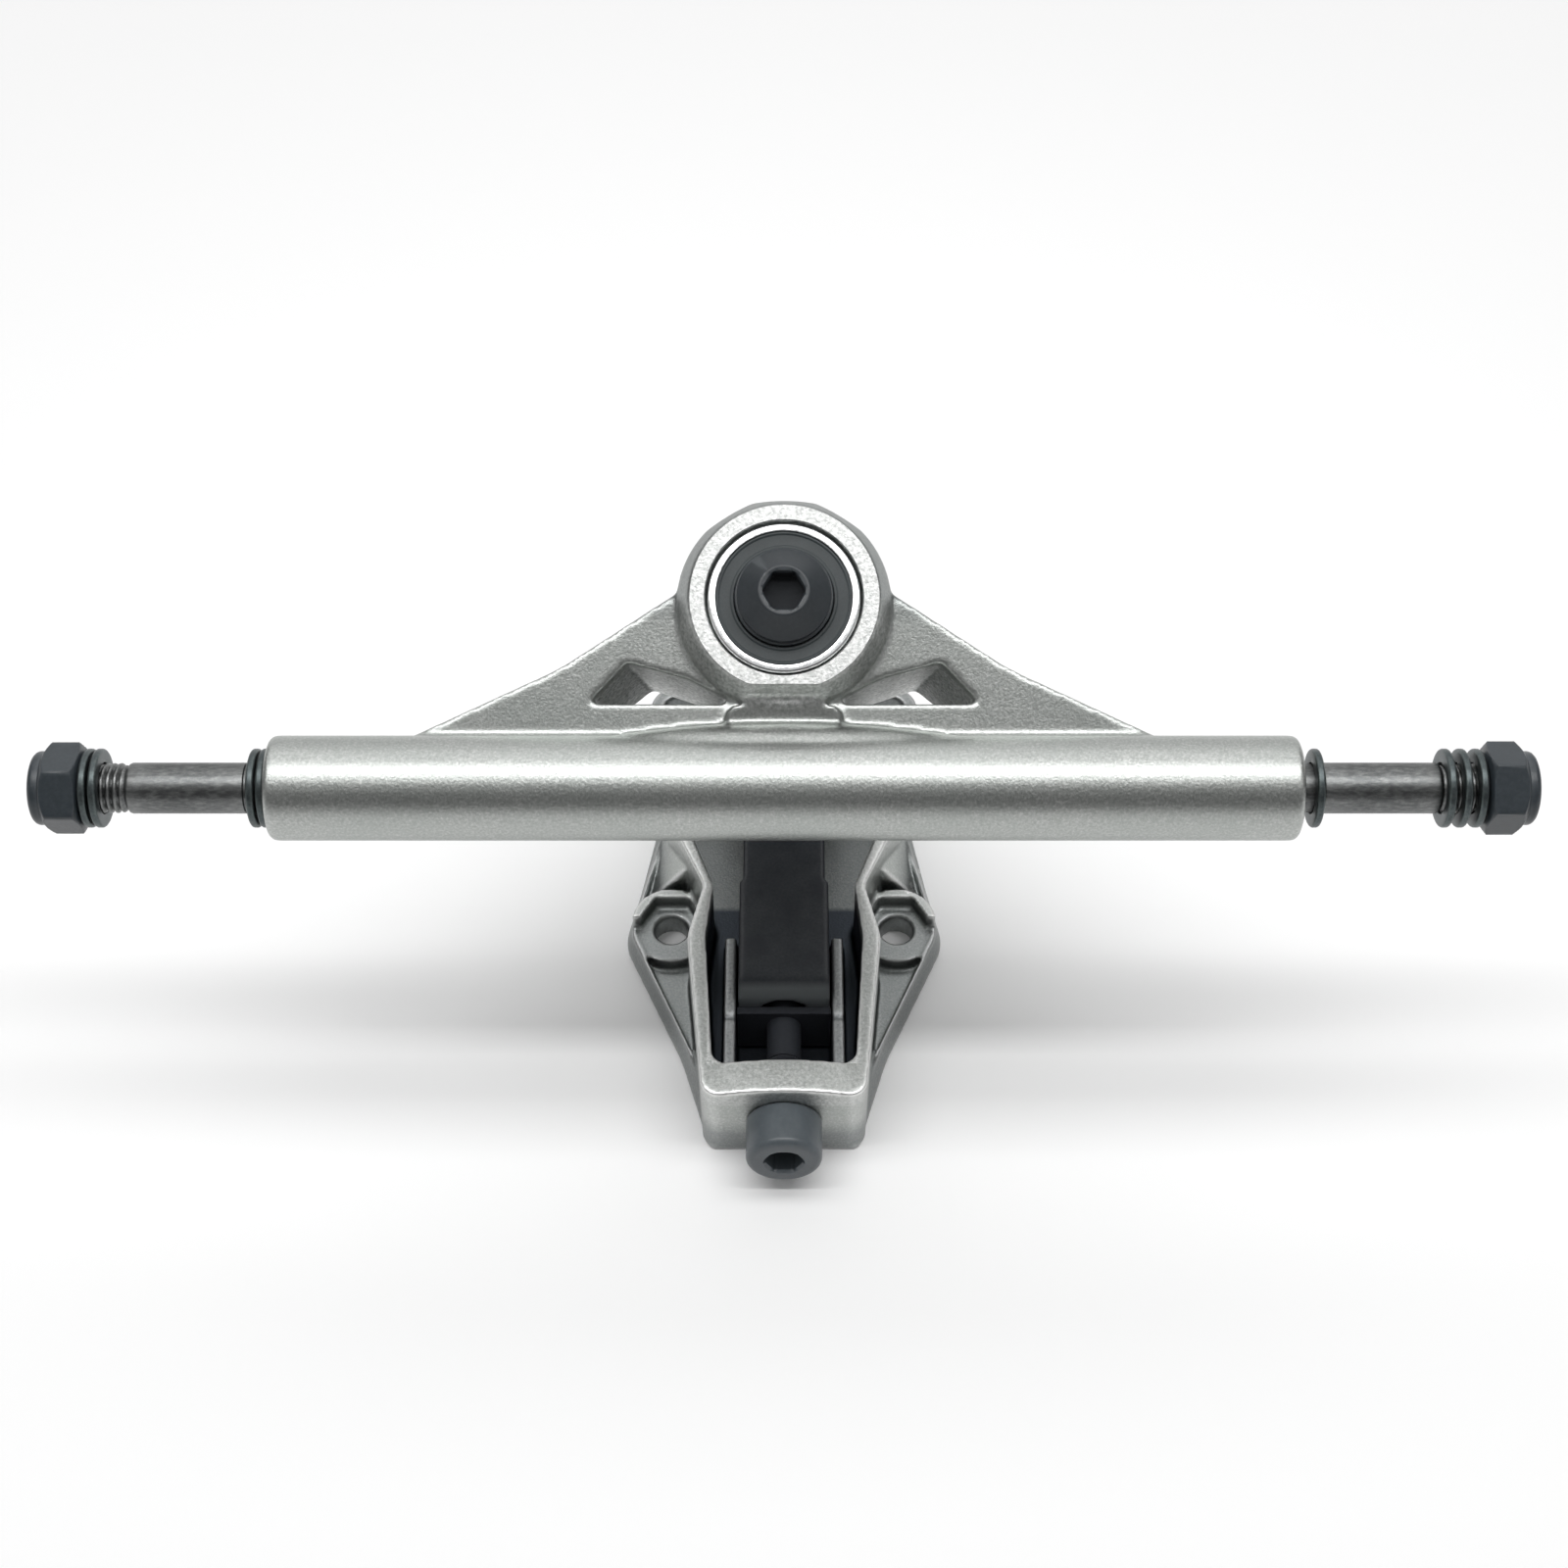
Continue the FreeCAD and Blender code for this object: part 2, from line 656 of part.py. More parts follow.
def web():
    """Web whose face rises to the hub and whose underside slopes up to the tube and the tips."""
    face = RING_FACE - WEB_FACE
    hub_face = RING_FACE - WEB_HUB_FACE
    plan = prism(web_plan(), RING_FACE - WEB_HUB_DEPTH, hub_face)
    side = side_prism([
        (-AXLE_OFFSET, RING_FACE - WEB_TUBE_DEPTH, 0),
        (-HUB_RADIUS / 2, RING_FACE - WEB_HUB_DEPTH, 0),
        (HUB_RADIUS, RING_FACE - WEB_HUB_DEPTH, 0),
        (HUB_RADIUS, hub_face, 0),
        (0, hub_face, 0),
        (TUBE_RADIUS - AXLE_OFFSET, face, 0),
        (-AXLE_OFFSET, face, 0),
    ], WEB_TIP_X)
    front_corners = [
        (-WEB_TIP_X, 0, hub_face),
        (-WEB_TIP_X, 0, RING_FACE - WEB_TIP_DEPTH),
        (-BARREL_RADIUS, 0, RING_FACE - WEB_HUB_DEPTH),
        (BARREL_RADIUS, 0, RING_FACE - WEB_HUB_DEPTH),
        (WEB_TIP_X, 0, RING_FACE - WEB_TIP_DEPTH),
        (WEB_TIP_X, 0, hub_face),
        (-WEB_TIP_X, 0, hub_face),
    ]
    wire = Part.makePolygon([Vector(x, -AXLE_OFFSET, z) for x, y, z in front_corners])
    front = Part.Face(wire).extrude(Vector(0, AXLE_OFFSET + HUB_RADIUS, 0))
    return plan.common(side).common(front)


def neck():
    """Raised panel that runs from the ring to the tube and flares out below the windows."""
    axle = -AXLE_OFFSET
    root = -COLLAR_RADIUS / 2
    bottom = RING_FACE - WEB_TUBE_DEPTH
    top = RING_FACE - NECK_TOP_DEPTH
    foot = RING_FACE - NECK_FOOT_DEPTH
    plan = mirrored_face([
        (NECK_FLARE_HALF, axle, 0),
        (NECK_FLARE_HALF, axle + NECK_FLARE_RISE, NECK_ROUND),
        (NECK_HALF, axle + NECK_WAIST_RISE, NECK_ROUND),
        (NECK_HALF, root, 0),
    ])
    side = side_prism([
        (axle, bottom, 0),
        (root, bottom, 0),
        (root, top, 0),
        (-NECK_CHORD - NECK_SLOPE, top, 0),
        (axle + TUBE_RADIUS, foot, 0),
        (axle, foot, 0),
    ], NECK_FLARE_HALF)
    return prism(plan, bottom, top).common(side)


def saddle():
    """Swelling of the tube below the neck: a piece of a ring, so its upper edge is an arc."""
    reach = (SADDLE_HALF * SADDLE_HALF + SADDLE_SHIFT * SADDLE_SHIFT) / (2 * SADDLE_SHIFT)
    middle = TUBE_RADIUS - SADDLE_RADIUS + SADDLE_SHIFT
    centre = Vector(0, middle - AXLE_OFFSET - reach, AXLE_RISE)
    ring = Part.makeTorus(reach, SADDLE_RADIUS - FIT_GAP, centre)
    room = box(
        Vector(-SADDLE_HALF, -AXLE_OFFSET - TUBE_RADIUS, AXLE_RISE - 2 * TUBE_RADIUS),
        Vector(SADDLE_HALF, 0, AXLE_RISE + 2 * TUBE_RADIUS),
    )
    return ring.common(room)


def web_windows():
    """Two slanted windows through the web, whose outer and upper walls lean inwards below."""
    axle = -AXLE_OFFSET
    mouth = [
        (WINDOW_TIP_X, axle + WINDOW_SILL_RISE, WINDOW_ROUND),
        (WINDOW_TOP_X, axle + WINDOW_TOP_RISE, WINDOW_ROUND),
        (WINDOW_INNER_X, axle + WINDOW_INNER_RISE, WINDOW_ROUND),
        (WINDOW_ROOT_X, axle + WINDOW_SILL_RISE, WINDOW_ROUND),
    ]
    foot = [
        (WINDOW_FOOT_TIP_X, axle + WINDOW_SILL_RISE, WINDOW_ROUND),
        (WINDOW_FOOT_TOP_X, axle + WINDOW_FOOT_TOP_RISE, WINDOW_ROUND),
        (WINDOW_INNER_X, axle + WINDOW_FOOT_INNER_RISE, WINDOW_ROUND),
        (WINDOW_ROOT_X, axle + WINDOW_SILL_RISE, WINDOW_ROUND),
    ]
    wires = []
    for corners, level in ((mouth, WEB_HUB_FACE - OVERRUN), (foot, WEB_HUB_DEPTH + OVERRUN)):
        wire = rounded_outline(corners)
        wire.translate(Vector(0, 0, RING_FACE - level))
        wires.append(wire)
    right = Part.makeLoft(wires, True, True)
    return [right, right.mirror(Vector(0, 0, 0), RIGHT)]


def along_axle(corners):
    """Solid turned about the axle from corners (radius, place along X, rounding)."""
    solid = turned(corners)
    solid.rotate(Vector(0, 0, 0), Vector(0, 1, 0), FULL_TURN / 4)
    solid.translate(Vector(0, -AXLE_OFFSET, AXLE_RISE))
    return solid


def axle_tube():
    half = TUBE_END
    return along_axle([
        (0, -half, 0),
        (TUBE_RADIUS - TUBE_CHAMFER, -half, 0),
        (TUBE_RADIUS, -half + TUBE_CHAMFER, 0),
        (TUBE_RADIUS, half - TUBE_CHAMFER, 0),
        (TUBE_RADIUS - TUBE_CHAMFER, half, 0),
        (0, half, 0),
    ])


def axle_bore():
    half = TUBE_END + OVERRUN
    radius = AXLE_RADIUS + FIT_GAP
    return along_axle([(0, -half, 0), (radius, -half, 0), (radius, half, 0), (0, half, 0)])


def hanger():
    """Cast hanger: pivot hub with its cam lug, web with windows, neck and the axle tube."""
    pieces = [web().cut(web_windows()), neck(), saddle(), cam_lug(), axle_tube()]
    body = hub_body().fuse(pieces)
    seat_radius = BEARING_RADIUS + FIT_GAP
    bores = [
        disc(HUB_BORE_RADIUS, HUB_FOOT - OVERRUN, RING_FACE + OVERRUN),
        disc(BEARING_RADIUS + RACE_RELIEF, RING_FACE - RACE_RELIEF_DEPTH, RING_FACE + OVERRUN),
        disc(seat_radius, UPPER_BEARING, RING_FACE + OVERRUN),
        disc(seat_radius, HUB_FOOT - OVERRUN, LOWER_BEARING + BEARING_WIDTH),
        axle_bore(),
    ]
    return on_pivot(body.cut(bores).removeSplitter())


def axle():
    """Axle with a relieved neck beside each end of the tube, a journal and a thread."""
    thread_start = AXLE_TIP - AXLE_THREAD_LENGTH
    neck_start = TUBE_END - AXLE_RELIEF_START
    neck_end = TUBE_END + AXLE_RELIEF_LENGTH
    end = [
        (AXLE_RADIUS, neck_start, 0),
        (AXLE_RELIEF_RADIUS, neck_start, 0),
        (AXLE_RELIEF_RADIUS, neck_end, 0),
        (AXLE_RADIUS, neck_end, 0),
        (AXLE_RADIUS, thread_start - AXLE_THREAD_LEAD, 0),
        (AXLE_THREAD_RADIUS, thread_start, 0),
        (AXLE_THREAD_RADIUS, AXLE_TIP - AXLE_CHAMFER, 0),
        (AXLE_THREAD_RADIUS - AXLE_CHAMFER, AXLE_TIP, 0),
        (0, AXLE_TIP, 0),
    ]
    other_end = [(radius, -place, rounding) for radius, place, rounding in reversed(end)]
    return on_pivot(along_axle(other_end + end))


def to_axle_end(shape, side):
    """Takes a shape drawn along Z from the middle of the truck to one end of the axle."""
    placed = shape.copy()
    placed.rotate(Vector(0, 0, 0), Vector(0, 1, 0), side * FULL_TURN / 4)
    placed.translate(Vector(0, -AXLE_OFFSET, AXLE_RISE))
    return on_pivot(placed)


def axle_nut(side, turn):
    """Lock nut with bevelled hexagon corners and a rolled collar round its insert."""
    inner = NUT_INNER_FACE
    shoulder = inner + NUT_HEX_LENGTH
    outer = shoulder + NUT_COLLAR_LENGTH
    corner = NUT_FLATS / math.sqrt(3)
    bevel = turned([
        (0, inner, 0),
        (corner - NUT_BEVEL, inner, 0),
        (corner + FIT_GAP, inner + NUT_BEVEL / 2, 0),
        (corner + FIT_GAP, shoulder - NUT_BEVEL, 0),
        (NUT_COLLAR_RADIUS, shoulder + FIT_GAP, 0),
        (0, shoulder + FIT_GAP, 0),
    ])
    nut = hexagon_prism(NUT_FLATS, inner, shoulder + FIT_GAP, turn).common(bevel)
    collar = turned([
        (0, shoulder - NUT_BEVEL, 0),
        (NUT_COLLAR_RADIUS, shoulder - NUT_BEVEL, 0),
        (NUT_COLLAR_RADIUS, outer, NUT_COLLAR_ROUND),
        (0, outer, 0),
    ])
    nut = nut.fuse(collar)
    bore = disc(AXLE_THREAD_RADIUS + THREAD_GAP / 2, inner - OVERRUN, outer + OVERRUN)
    lip = outer - INSERT_LIP
    groove = disc(INSERT_RADIUS, lip - INSERT_LENGTH, lip)
    return to_axle_end(nut.cut([bore, groove]).removeSplitter(), side)


def nut_insert(side):
    """Plastic locking ring held in the collar of the nut."""
    lip = NUT_INNER_FACE + NUT_HEX_LENGTH + NUT_COLLAR_LENGTH - INSERT_LIP
    bore = AXLE_THREAD_RADIUS + THREAD_GAP / 2
    ring = tube(INSERT_RADIUS - FIT_GAP, bore, lip - INSERT_LENGTH + FIT_GAP, lip - FIT_GAP)
    return to_axle_end(ring, side)


def speed_ring(start):
    """Thin washer round the axle whose inner face lies at the start."""
    bore = AXLE_RADIUS + RING_BORE_GAP
    end = start + RING_THICKNESS
    return turned([
        (bore, start, 0),
        (RING_RADIUS - RING_CHAMFER, start, 0),
        (RING_RADIUS, start + RING_CHAMFER, 0),
        (RING_RADIUS, end - RING_CHAMFER, 0),
        (RING_RADIUS - RING_CHAMFER, end, 0),
        (bore, end, 0),
    ])


def inner_rings(side, gaps):
    """Washers beside the end of the tube, each with its gap from the tube."""
    rings = [speed_ring(TUBE_END + gap) for gap in gaps]
    return Part.makeCompound([to_axle_end(ring, side) for ring in rings])


def outer_rings(side, gaps):
    """Washers beside the nut, each with its gap from the nut."""
    rings = [speed_ring(NUT_INNER_FACE - gap - RING_THICKNESS) for gap in gaps]
    return Part.makeCompound([to_axle_end(ring, side) for ring in rings])


def kingpin():
    """Pivot pin with its head in the recess under the base and a threaded top."""
    top = CAP_SEAT - KINGPIN_TOP_GAP
    pin = disc(KINGPIN_RADIUS, RECESS_RISE, top)
    head = disc(KINGPIN_HEAD_RADIUS, RECESS_RISE - KINGPIN_HEAD, RECESS_RISE)
    foot = RECESS_RISE - KINGPIN_HEAD
    socket = hexagon_prism(KINGPIN_SOCKET_FLATS, foot - OVERRUN, foot + KINGPIN_SOCKET)
    depth = CAP_THREAD_LENGTH + OVERRUN
    thread = disc(CAP_THREAD_RADIUS + THREAD_GAP, top - depth, top + OVERRUN)
    return on_pivot(pin.fuse(head).cut([socket, thread]).removeSplitter())


def cap_screw():
    """Button-head screw that holds the pivot stack together."""
    base = CAP_SEAT + CAP_WASHER
    top = base + CAP_HEAD_HEIGHT
    head = turned([
        (0, base, 0),
        (CAP_HEAD_RADIUS, base, 0),
        (CAP_HEAD_RADIUS, top, CAP_HEAD_ROUND),
        (0, top, 0),
    ])
    thread = disc(CAP_THREAD_RADIUS, base - CAP_THREAD_LENGTH, base)
    quarter = FULL_TURN / HEX_SIDES / 2
    socket = hexagon_prism(CAP_SOCKET_FLATS, top - CAP_SOCKET_DEPTH, top + OVERRUN, quarter)
    mouth = CAP_SOCKET_FLATS / math.sqrt(3)
    rim = Part.makeCone(mouth - CAP_SOCKET_RIM, mouth, CAP_SOCKET_RIM, UP * (top - CAP_SOCKET_RIM))
    return on_pivot(head.fuse(thread).cut([socket, rim]).removeSplitter())


def cap_washer():
    bore = CAP_THREAD_RADIUS + THREAD_GAP
    return on_pivot(tube(CAP_WASHER_RADIUS, bore, CAP_SEAT, CAP_SEAT + CAP_WASHER))


def groove(foot):
    middle = foot + BEARING_WIDTH / 2
    return Part.makeTorus(PITCH_RADIUS, BALL_RADIUS + GROOVE_GAP, UP * middle)


def outer_race(foot):
    ring = tube(BEARING_RADIUS, OUTER_LAND_RADIUS, foot, foot + BEARING_WIDTH)
    shoulder = SEAL_RECESS + SEAL_THICKNESS + FIT_GAP
    radius = SEAL_RADIUS + FIT_GAP
    steps = [
        disc(radius, foot - OVERRUN, foot + shoulder),
        disc(radius, foot + BEARING_WIDTH - shoulder, foot + BEARING_WIDTH + OVERRUN),
    ]
    return on_pivot(ring.cut([groove(foot)] + steps))


def inner_race(foot):
    ring = tube(INNER_LAND_RADIUS, KINGPIN_RADIUS + FIT_GAP, foot, foot + BEARING_WIDTH)
    return on_pivot(ring.cut(groove(foot)))


def ball_places(foot):
    middle = foot + BEARING_WIDTH / 2
    places = []
    for index in range(BALL_COUNT):
        angle = math.radians(index * FULL_TURN / BALL_COUNT)
        places.append(Vector(PITCH_RADIUS * math.cos(angle), PITCH_RADIUS * math.sin(angle), middle))
    return places


def bearing_balls(foot):
    balls = [Part.makeSphere(BALL_RADIUS, place) for place in ball_places(foot)]
    return Part.makeCompound([on_pivot(ball) for ball in balls])


def bearing_cage(foot):
    middle = foot + BEARING_WIDTH / 2
    ring = tube(PITCH_RADIUS + CAGE_HALF_THICKNESS, PITCH_RADIUS - CAGE_HALF_THICKNESS,
                middle - CAGE_HALF_WIDTH, middle + CAGE_HALF_WIDTH)
    pocket_radius = BALL_RADIUS + CAGE_BALL_GAP
    reach = 2 * CAGE_HALF_THICKNESS
    pockets = []
    for place in ball_places(foot):
        outward = Vector(place.x, place.y, 0).normalize()
        pockets.append(Part.makeCylinder(pocket_radius, 2 * reach, place - outward * reach, outward))
    return on_pivot(ring.cut(pockets))


def bearing_seals(foot):
    inner = INNER_LAND_RADIUS + SEAL_GAP
    low = tube(SEAL_RADIUS, inner, foot + SEAL_RECESS, foot + SEAL_RECESS + SEAL_THICKNESS)
    top = foot + BEARING_WIDTH - SEAL_RECESS
    high = tube(SEAL_RADIUS, inner, top - SEAL_THICKNESS, top)
    return Part.makeCompound([on_pivot(low), on_pivot(high)])


def bearing_spacer():
    inner = KINGPIN_RADIUS + FIT_GAP
    return on_pivot(tube(inner + SPACER_WALL, inner, LOWER_BEARING + BEARING_WIDTH, UPPER_BEARING))


def seat_washer():
    inner = KINGPIN_RADIUS + FIT_GAP
    return on_pivot(tube(SEAT_WASHER_RADIUS, inner, SEAT, SEAT + SEAT_WASHER))


def lug_side_plane(height):
    """Y of the plane that the block's tail face follows, at a height above the deck."""
    lean = math.radians(PIVOT_LEAN)
    reach = LUG_REACH + BLOCK_GAP
    along = (height + reach * math.sin(lean)) / math.cos(lean)
    return PIVOT_FOOT - reach * math.cos(lean) - along * math.sin(lean)


def block_bore_depth():
    """Depth of the coil's bore, which leaves an end wall before the block's tail face."""
    tail = lug_side_plane(SCREW_HEIGHT + BLOCK_BORE_RADIUS)
    return BLOCK_NOSE_REACH + tail - BLOCK_END_WALL


def return_block():
    """Urethane block with a rounded front edge, a slimmer tail and a bore for the coil."""
    low = CHANNEL_FLOOR + BLOCK_GAP
    body = side_prism([
        (-BLOCK_NOSE_REACH, low, 0),
        (lug_side_plane(low), low, 0),
        (lug_side_plane(BLOCK_TOP), BLOCK_TOP, 0),
        (-BLOCK_NOSE_REACH, BLOCK_TOP, BLOCK_ROUND),
    ], BLOCK_HALF)
    step = BLOCK_HALF - BLOCK_TAIL_HALF
    plan = mirrored_face([
        (BLOCK_HALF, -NOSE_REACH, 0),
        (BLOCK_HALF, -BLOCK_SHOULDER_REACH - step, 0),
        (BLOCK_TAIL_HALF, -BLOCK_SHOULDER_REACH, 0),
        (BLOCK_TAIL_HALF, PIVOT_FOOT, 0),
    ])
    body = body.common(prism(plan, 0, WALL_HEIGHT))
    bore = Part.makeCylinder(
        BLOCK_BORE_RADIUS,
        block_bore_depth() + OVERRUN,
        Vector(0, -BLOCK_NOSE_REACH - OVERRUN, SCREW_HEIGHT),
        -FORWARD,
    )
    return body.cut(bore)


def arc_between(start, control, end):
    """Circular edge that leaves start towards control and reaches end from control."""
    middle = (start + end) / 2
    rise = (control - middle).Length
    side = (control - start).Length
    radius = side * (end - start).Length / 2 / rise
    top = control + (middle - control) * ((side * side / rise - radius) / rise)
    return Part.Arc(start, top, end).toShape()


def biarc(start, start_heading, end, end_heading):
    """Two arcs that join two places with the headings given at both."""
    gap = end - start
    heading_sum = start_heading + end_heading
    square = 2 * (1 - start_heading.dot(end_heading))
    linear = 2 * gap.dot(heading_sum)
    reach = (-linear + math.sqrt(linear * linear + 4 * square * gap.dot(gap))) / (2 * square)
    first = start + start_heading * reach
    second = end - end_heading * reach
    joint = (first + second) / 2
    return [arc_between(start, first, joint), arc_between(joint, second, end)]


def helix_place(radius, pitch, turn):
    angle = turn * 2 * math.pi
    place = Vector(radius * math.cos(angle), radius * math.sin(angle), pitch * turn)
    rise = pitch / (2 * math.pi)
    heading = Vector(-radius * math.sin(angle), radius * math.cos(angle), rise).normalize()
    return place, heading


def return_spring():
    """Coil spring in the bore of the block, one unbroken wire of biarc quarter turns."""
    radius = SPRING_OUTER_RADIUS - SPRING_WIRE_RADIUS
    length = block_bore_depth() - CUP_GAP - BLOCK_GAP - 2 * SPRING_WIRE_RADIUS
    pitch = length / SPRING_TURNS
    quarters = SPRING_TURNS * 4
    edges = []
    for quarter in range(quarters):
        start, start_heading = helix_place(radius, pitch, quarter / 4)
        end, end_heading = helix_place(radius, pitch, (quarter + 1) / 4)
        edges += biarc(start, start_heading, end, end_heading)
    path = Part.Wire(edges)
    start, heading = helix_place(radius, pitch, 0)
    section = Part.Wire(Part.makeCircle(SPRING_WIRE_RADIUS, start, heading))
    coil = path.makePipeShell([section], True, False)
    print("coil gap between turns", round(pitch - 2 * SPRING_WIRE_RADIUS, 2))
    coil.rotate(Vector(0, 0, 0), RIGHT, -FULL_TURN / 4)
    nose = -BLOCK_NOSE_REACH + CUP_GAP + SPRING_WIRE_RADIUS
    coil.translate(Vector(0, nose, SCREW_HEIGHT))
    return coil


def in_channel(shape):
    """Lays a shape drawn along Z into the channel, its Z running from the nose rearward."""
    placed = shape.copy()
    placed.rotate(Vector(0, 0, 0), RIGHT, -FULL_TURN / 4)
    placed.translate(Vector(0, 0, SCREW_HEIGHT))
    return placed


def screw_tip():
    return -NOSE_INNER_REACH + SCREW_PROUD


def thrust_cup():
    """Stem, plate and spring pilot between the screw's tip and the return block."""
    start = screw_tip() + CUP_GAP
    end = -BLOCK_NOSE_REACH - CUP_GAP
    stem = in_channel(turned([
        (0, start, 0),
        (CUP_STEM_RADIUS, start, 0),
        (CUP_STEM_RADIUS, end, 0),
        (CUP_PILOT_RADIUS, end, 0),
        (CUP_PILOT_RADIUS, end + CUP_PILOT, 0),
        (0, end + CUP_PILOT, 0),
    ]))
    plate = box(
        Vector(-CUP_PLATE_HALF, end - CUP_PLATE, CUP_PLATE_FOOT),
        Vector(CUP_PLATE_HALF, end, CUP_PLATE_TOP),
    )
    return stem.fuse(plate).removeSplitter()


def preload_screw():
    """Socket cap screw through the nose wall that sets the preload of the block."""
    seat = -NOSE_REACH - SCREW_SEAT_GAP
    face = seat - SCREW_HEAD
    body = turned([
        (0, face, 0),
        (SCREW_HEAD_RADIUS, face, SCREW_HEAD_ROUND),
        (SCREW_HEAD_RADIUS, seat, 0),
        (SCREW_RADIUS - THREAD_GAP / 2, seat, 0),
        (SCREW_RADIUS - THREAD_GAP / 2, screw_tip() - SCREW_TIP_CHAMFER, 0),
        (SCREW_RADIUS - SCREW_TIP_CHAMFER, screw_tip(), 0),
        (0, screw_tip(), 0),
    ])
    socket = hexagon_prism(SCREW_SOCKET_FLATS, face - OVERRUN, face + SCREW_SOCKET_DEPTH)
    return in_channel(body.cut(socket))


def all_nodes():
    nodes = {
        "baseplate": baseplate(),
        "hanger": hanger(),
        "axle": axle(),
        "axle_nut_left": axle_nut(-1, LEFT_NUT_TURN),
        "axle_nut_right": axle_nut(1, RIGHT_NUT_TURN),
        "nut_insert_left": nut_insert(-1),
        "nut_insert_right": nut_insert(1),
        "speed_rings_left_inner": inner_rings(-1, LEFT_INNER_RINGS),
        "speed_ring_right_inner": inner_rings(1, RIGHT_INNER_RINGS),
        "speed_rings_left_outer": outer_rings(-1, LEFT_OUTER_RINGS),
        "speed_rings_right_outer": outer_rings(1, RIGHT_OUTER_RINGS),
        "kingpin": kingpin(),
        "pivot_cap_screw": cap_screw(),
        "pivot_cap_washer": cap_washer(),
        "bearing_spacer": bearing_spacer(),
        "seat_washer": seat_washer(),
        "return_block": return_block(),
        "return_spring": return_spring(),
        "thrust_cup": thrust_cup(),
        "preload_screw": preload_screw(),
    }
    for name, foot in (("upper", UPPER_BEARING), ("lower", LOWER_BEARING)):
        nodes[name + "_bearing_outer_race"] = outer_race(foot)
        nodes[name + "_bearing_inner_race"] = inner_race(foot)
        nodes[name + "_bearing_balls"] = bearing_balls(foot)
        nodes[name + "_bearing_cage"] = bearing_cage(foot)
        nodes[name + "_bearing_seals"] = bearing_seals(foot)
    return nodes


os.makedirs("parts", exist_ok=True)
for node, shape in all_nodes().items():
    print(node, "solids", len(shape.Solids), "valid", shape.isValid(), "volume", round(shape.Volume, 1))
    shape.exportStep("parts/" + node + ".step")
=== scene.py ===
# %% [markdown]
# # A surf skateboard truck
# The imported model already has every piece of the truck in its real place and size.
# This lesson gives those pieces their looks: cast aluminium, scuffed steel, black oxide,
# polished bearing steel, rubber and urethane. Nothing is moved. Where a piece needs
# more shape than the model has, such as a screw thread, a finer mesh takes its place.

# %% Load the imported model
import math

import bmesh
import bpy
from mathutils import Matrix, Vector


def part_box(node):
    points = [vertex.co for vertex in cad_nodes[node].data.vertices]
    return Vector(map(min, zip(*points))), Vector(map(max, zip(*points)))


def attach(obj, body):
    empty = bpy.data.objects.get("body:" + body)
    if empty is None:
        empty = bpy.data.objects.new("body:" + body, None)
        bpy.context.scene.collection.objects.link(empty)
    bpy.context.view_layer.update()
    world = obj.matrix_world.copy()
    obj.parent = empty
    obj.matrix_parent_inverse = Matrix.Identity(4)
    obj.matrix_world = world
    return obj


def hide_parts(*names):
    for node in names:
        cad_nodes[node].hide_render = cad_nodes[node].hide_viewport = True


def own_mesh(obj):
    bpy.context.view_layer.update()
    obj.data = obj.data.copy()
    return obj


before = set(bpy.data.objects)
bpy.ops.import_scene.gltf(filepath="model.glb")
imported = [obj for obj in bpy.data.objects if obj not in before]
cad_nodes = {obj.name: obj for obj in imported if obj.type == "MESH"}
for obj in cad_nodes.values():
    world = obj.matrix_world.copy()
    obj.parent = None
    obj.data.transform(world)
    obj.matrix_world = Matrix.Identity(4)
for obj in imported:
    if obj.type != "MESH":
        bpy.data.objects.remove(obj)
scene = bpy.context.scene
scene.view_settings.view_transform = "Standard"
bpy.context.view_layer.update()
MM = 0.001

# %% [markdown]
# ## The view
# The truck is seen from its nose and from above, at 51 degrees over the table. A lens of
# about 56 mm on a full frame gives the same mild perspective as the reference picture.
# The camera looks along the middle plane, so both ends of the axle are equally far away.

# %% Place the camera
CAMERA_PLACE = Vector((0.0, -0.2870, 0.3686))
CAMERA_PITCH = math.radians(51.0)
LENS_MM = 55.7
FILM_MM = 36.0
lens = bpy.data.cameras.new("table_view")
lens.sensor_width = FILM_MM
lens.lens = LENS_MM
camera = bpy.data.objects.new("table_view", lens)
camera.location = CAMERA_PLACE
camera.rotation_euler = (math.pi / 2 - CAMERA_PITCH, 0.0, 0.0)
scene.collection.objects.link(camera)
scene.camera = camera
print("camera stands", round(CAMERA_PLACE.length, 3), "m from the middle of the deck holes")

# %% [markdown]
# ## Wiring a material
# Every finish below is a small tree of nodes. The first helper adds one node, sets its
# options, and fills its inputs: a plain value is typed into the socket, and an output of
# another node is wired to it. The others are the few steps that every recipe repeats,
# and they keep each recipe down to a few readable lines.


# %% Add a node and start a material
def add(tree, kind, inputs=None, **options):
    """Adds a node; inputs maps a socket's name or number to a value or another output."""
    made = tree.nodes.new(kind)
    for option, value in options.items():
        setattr(made, option, value)
    for socket, value in (inputs or {}).items():
        if isinstance(value, bpy.types.NodeSocket):
            tree.links.new(value, made.inputs[socket])
        else:
            made.inputs[socket].default_value = value
    return made


def new_material(name):
    """An empty material with its output node, ready for a surface."""
    material = bpy.data.materials.new(name)
    material.use_nodes = True
    material.node_tree.nodes.clear()
    output = material.node_tree.nodes.new("ShaderNodeOutputMaterial")
    return material, material.node_tree, output


print("node helpers ready")


# %% Sums, colours and grain
def maths(tree, operation, first, second=0.0, third=None):
    """Result of a sum; third is what MULTIPLY_ADD adds."""
    made = add(tree, "ShaderNodeMath", {0: first, 1: second}, operation=operation)
    if third is not None:
        made.inputs[2].default_value = third
    return made.outputs[0]


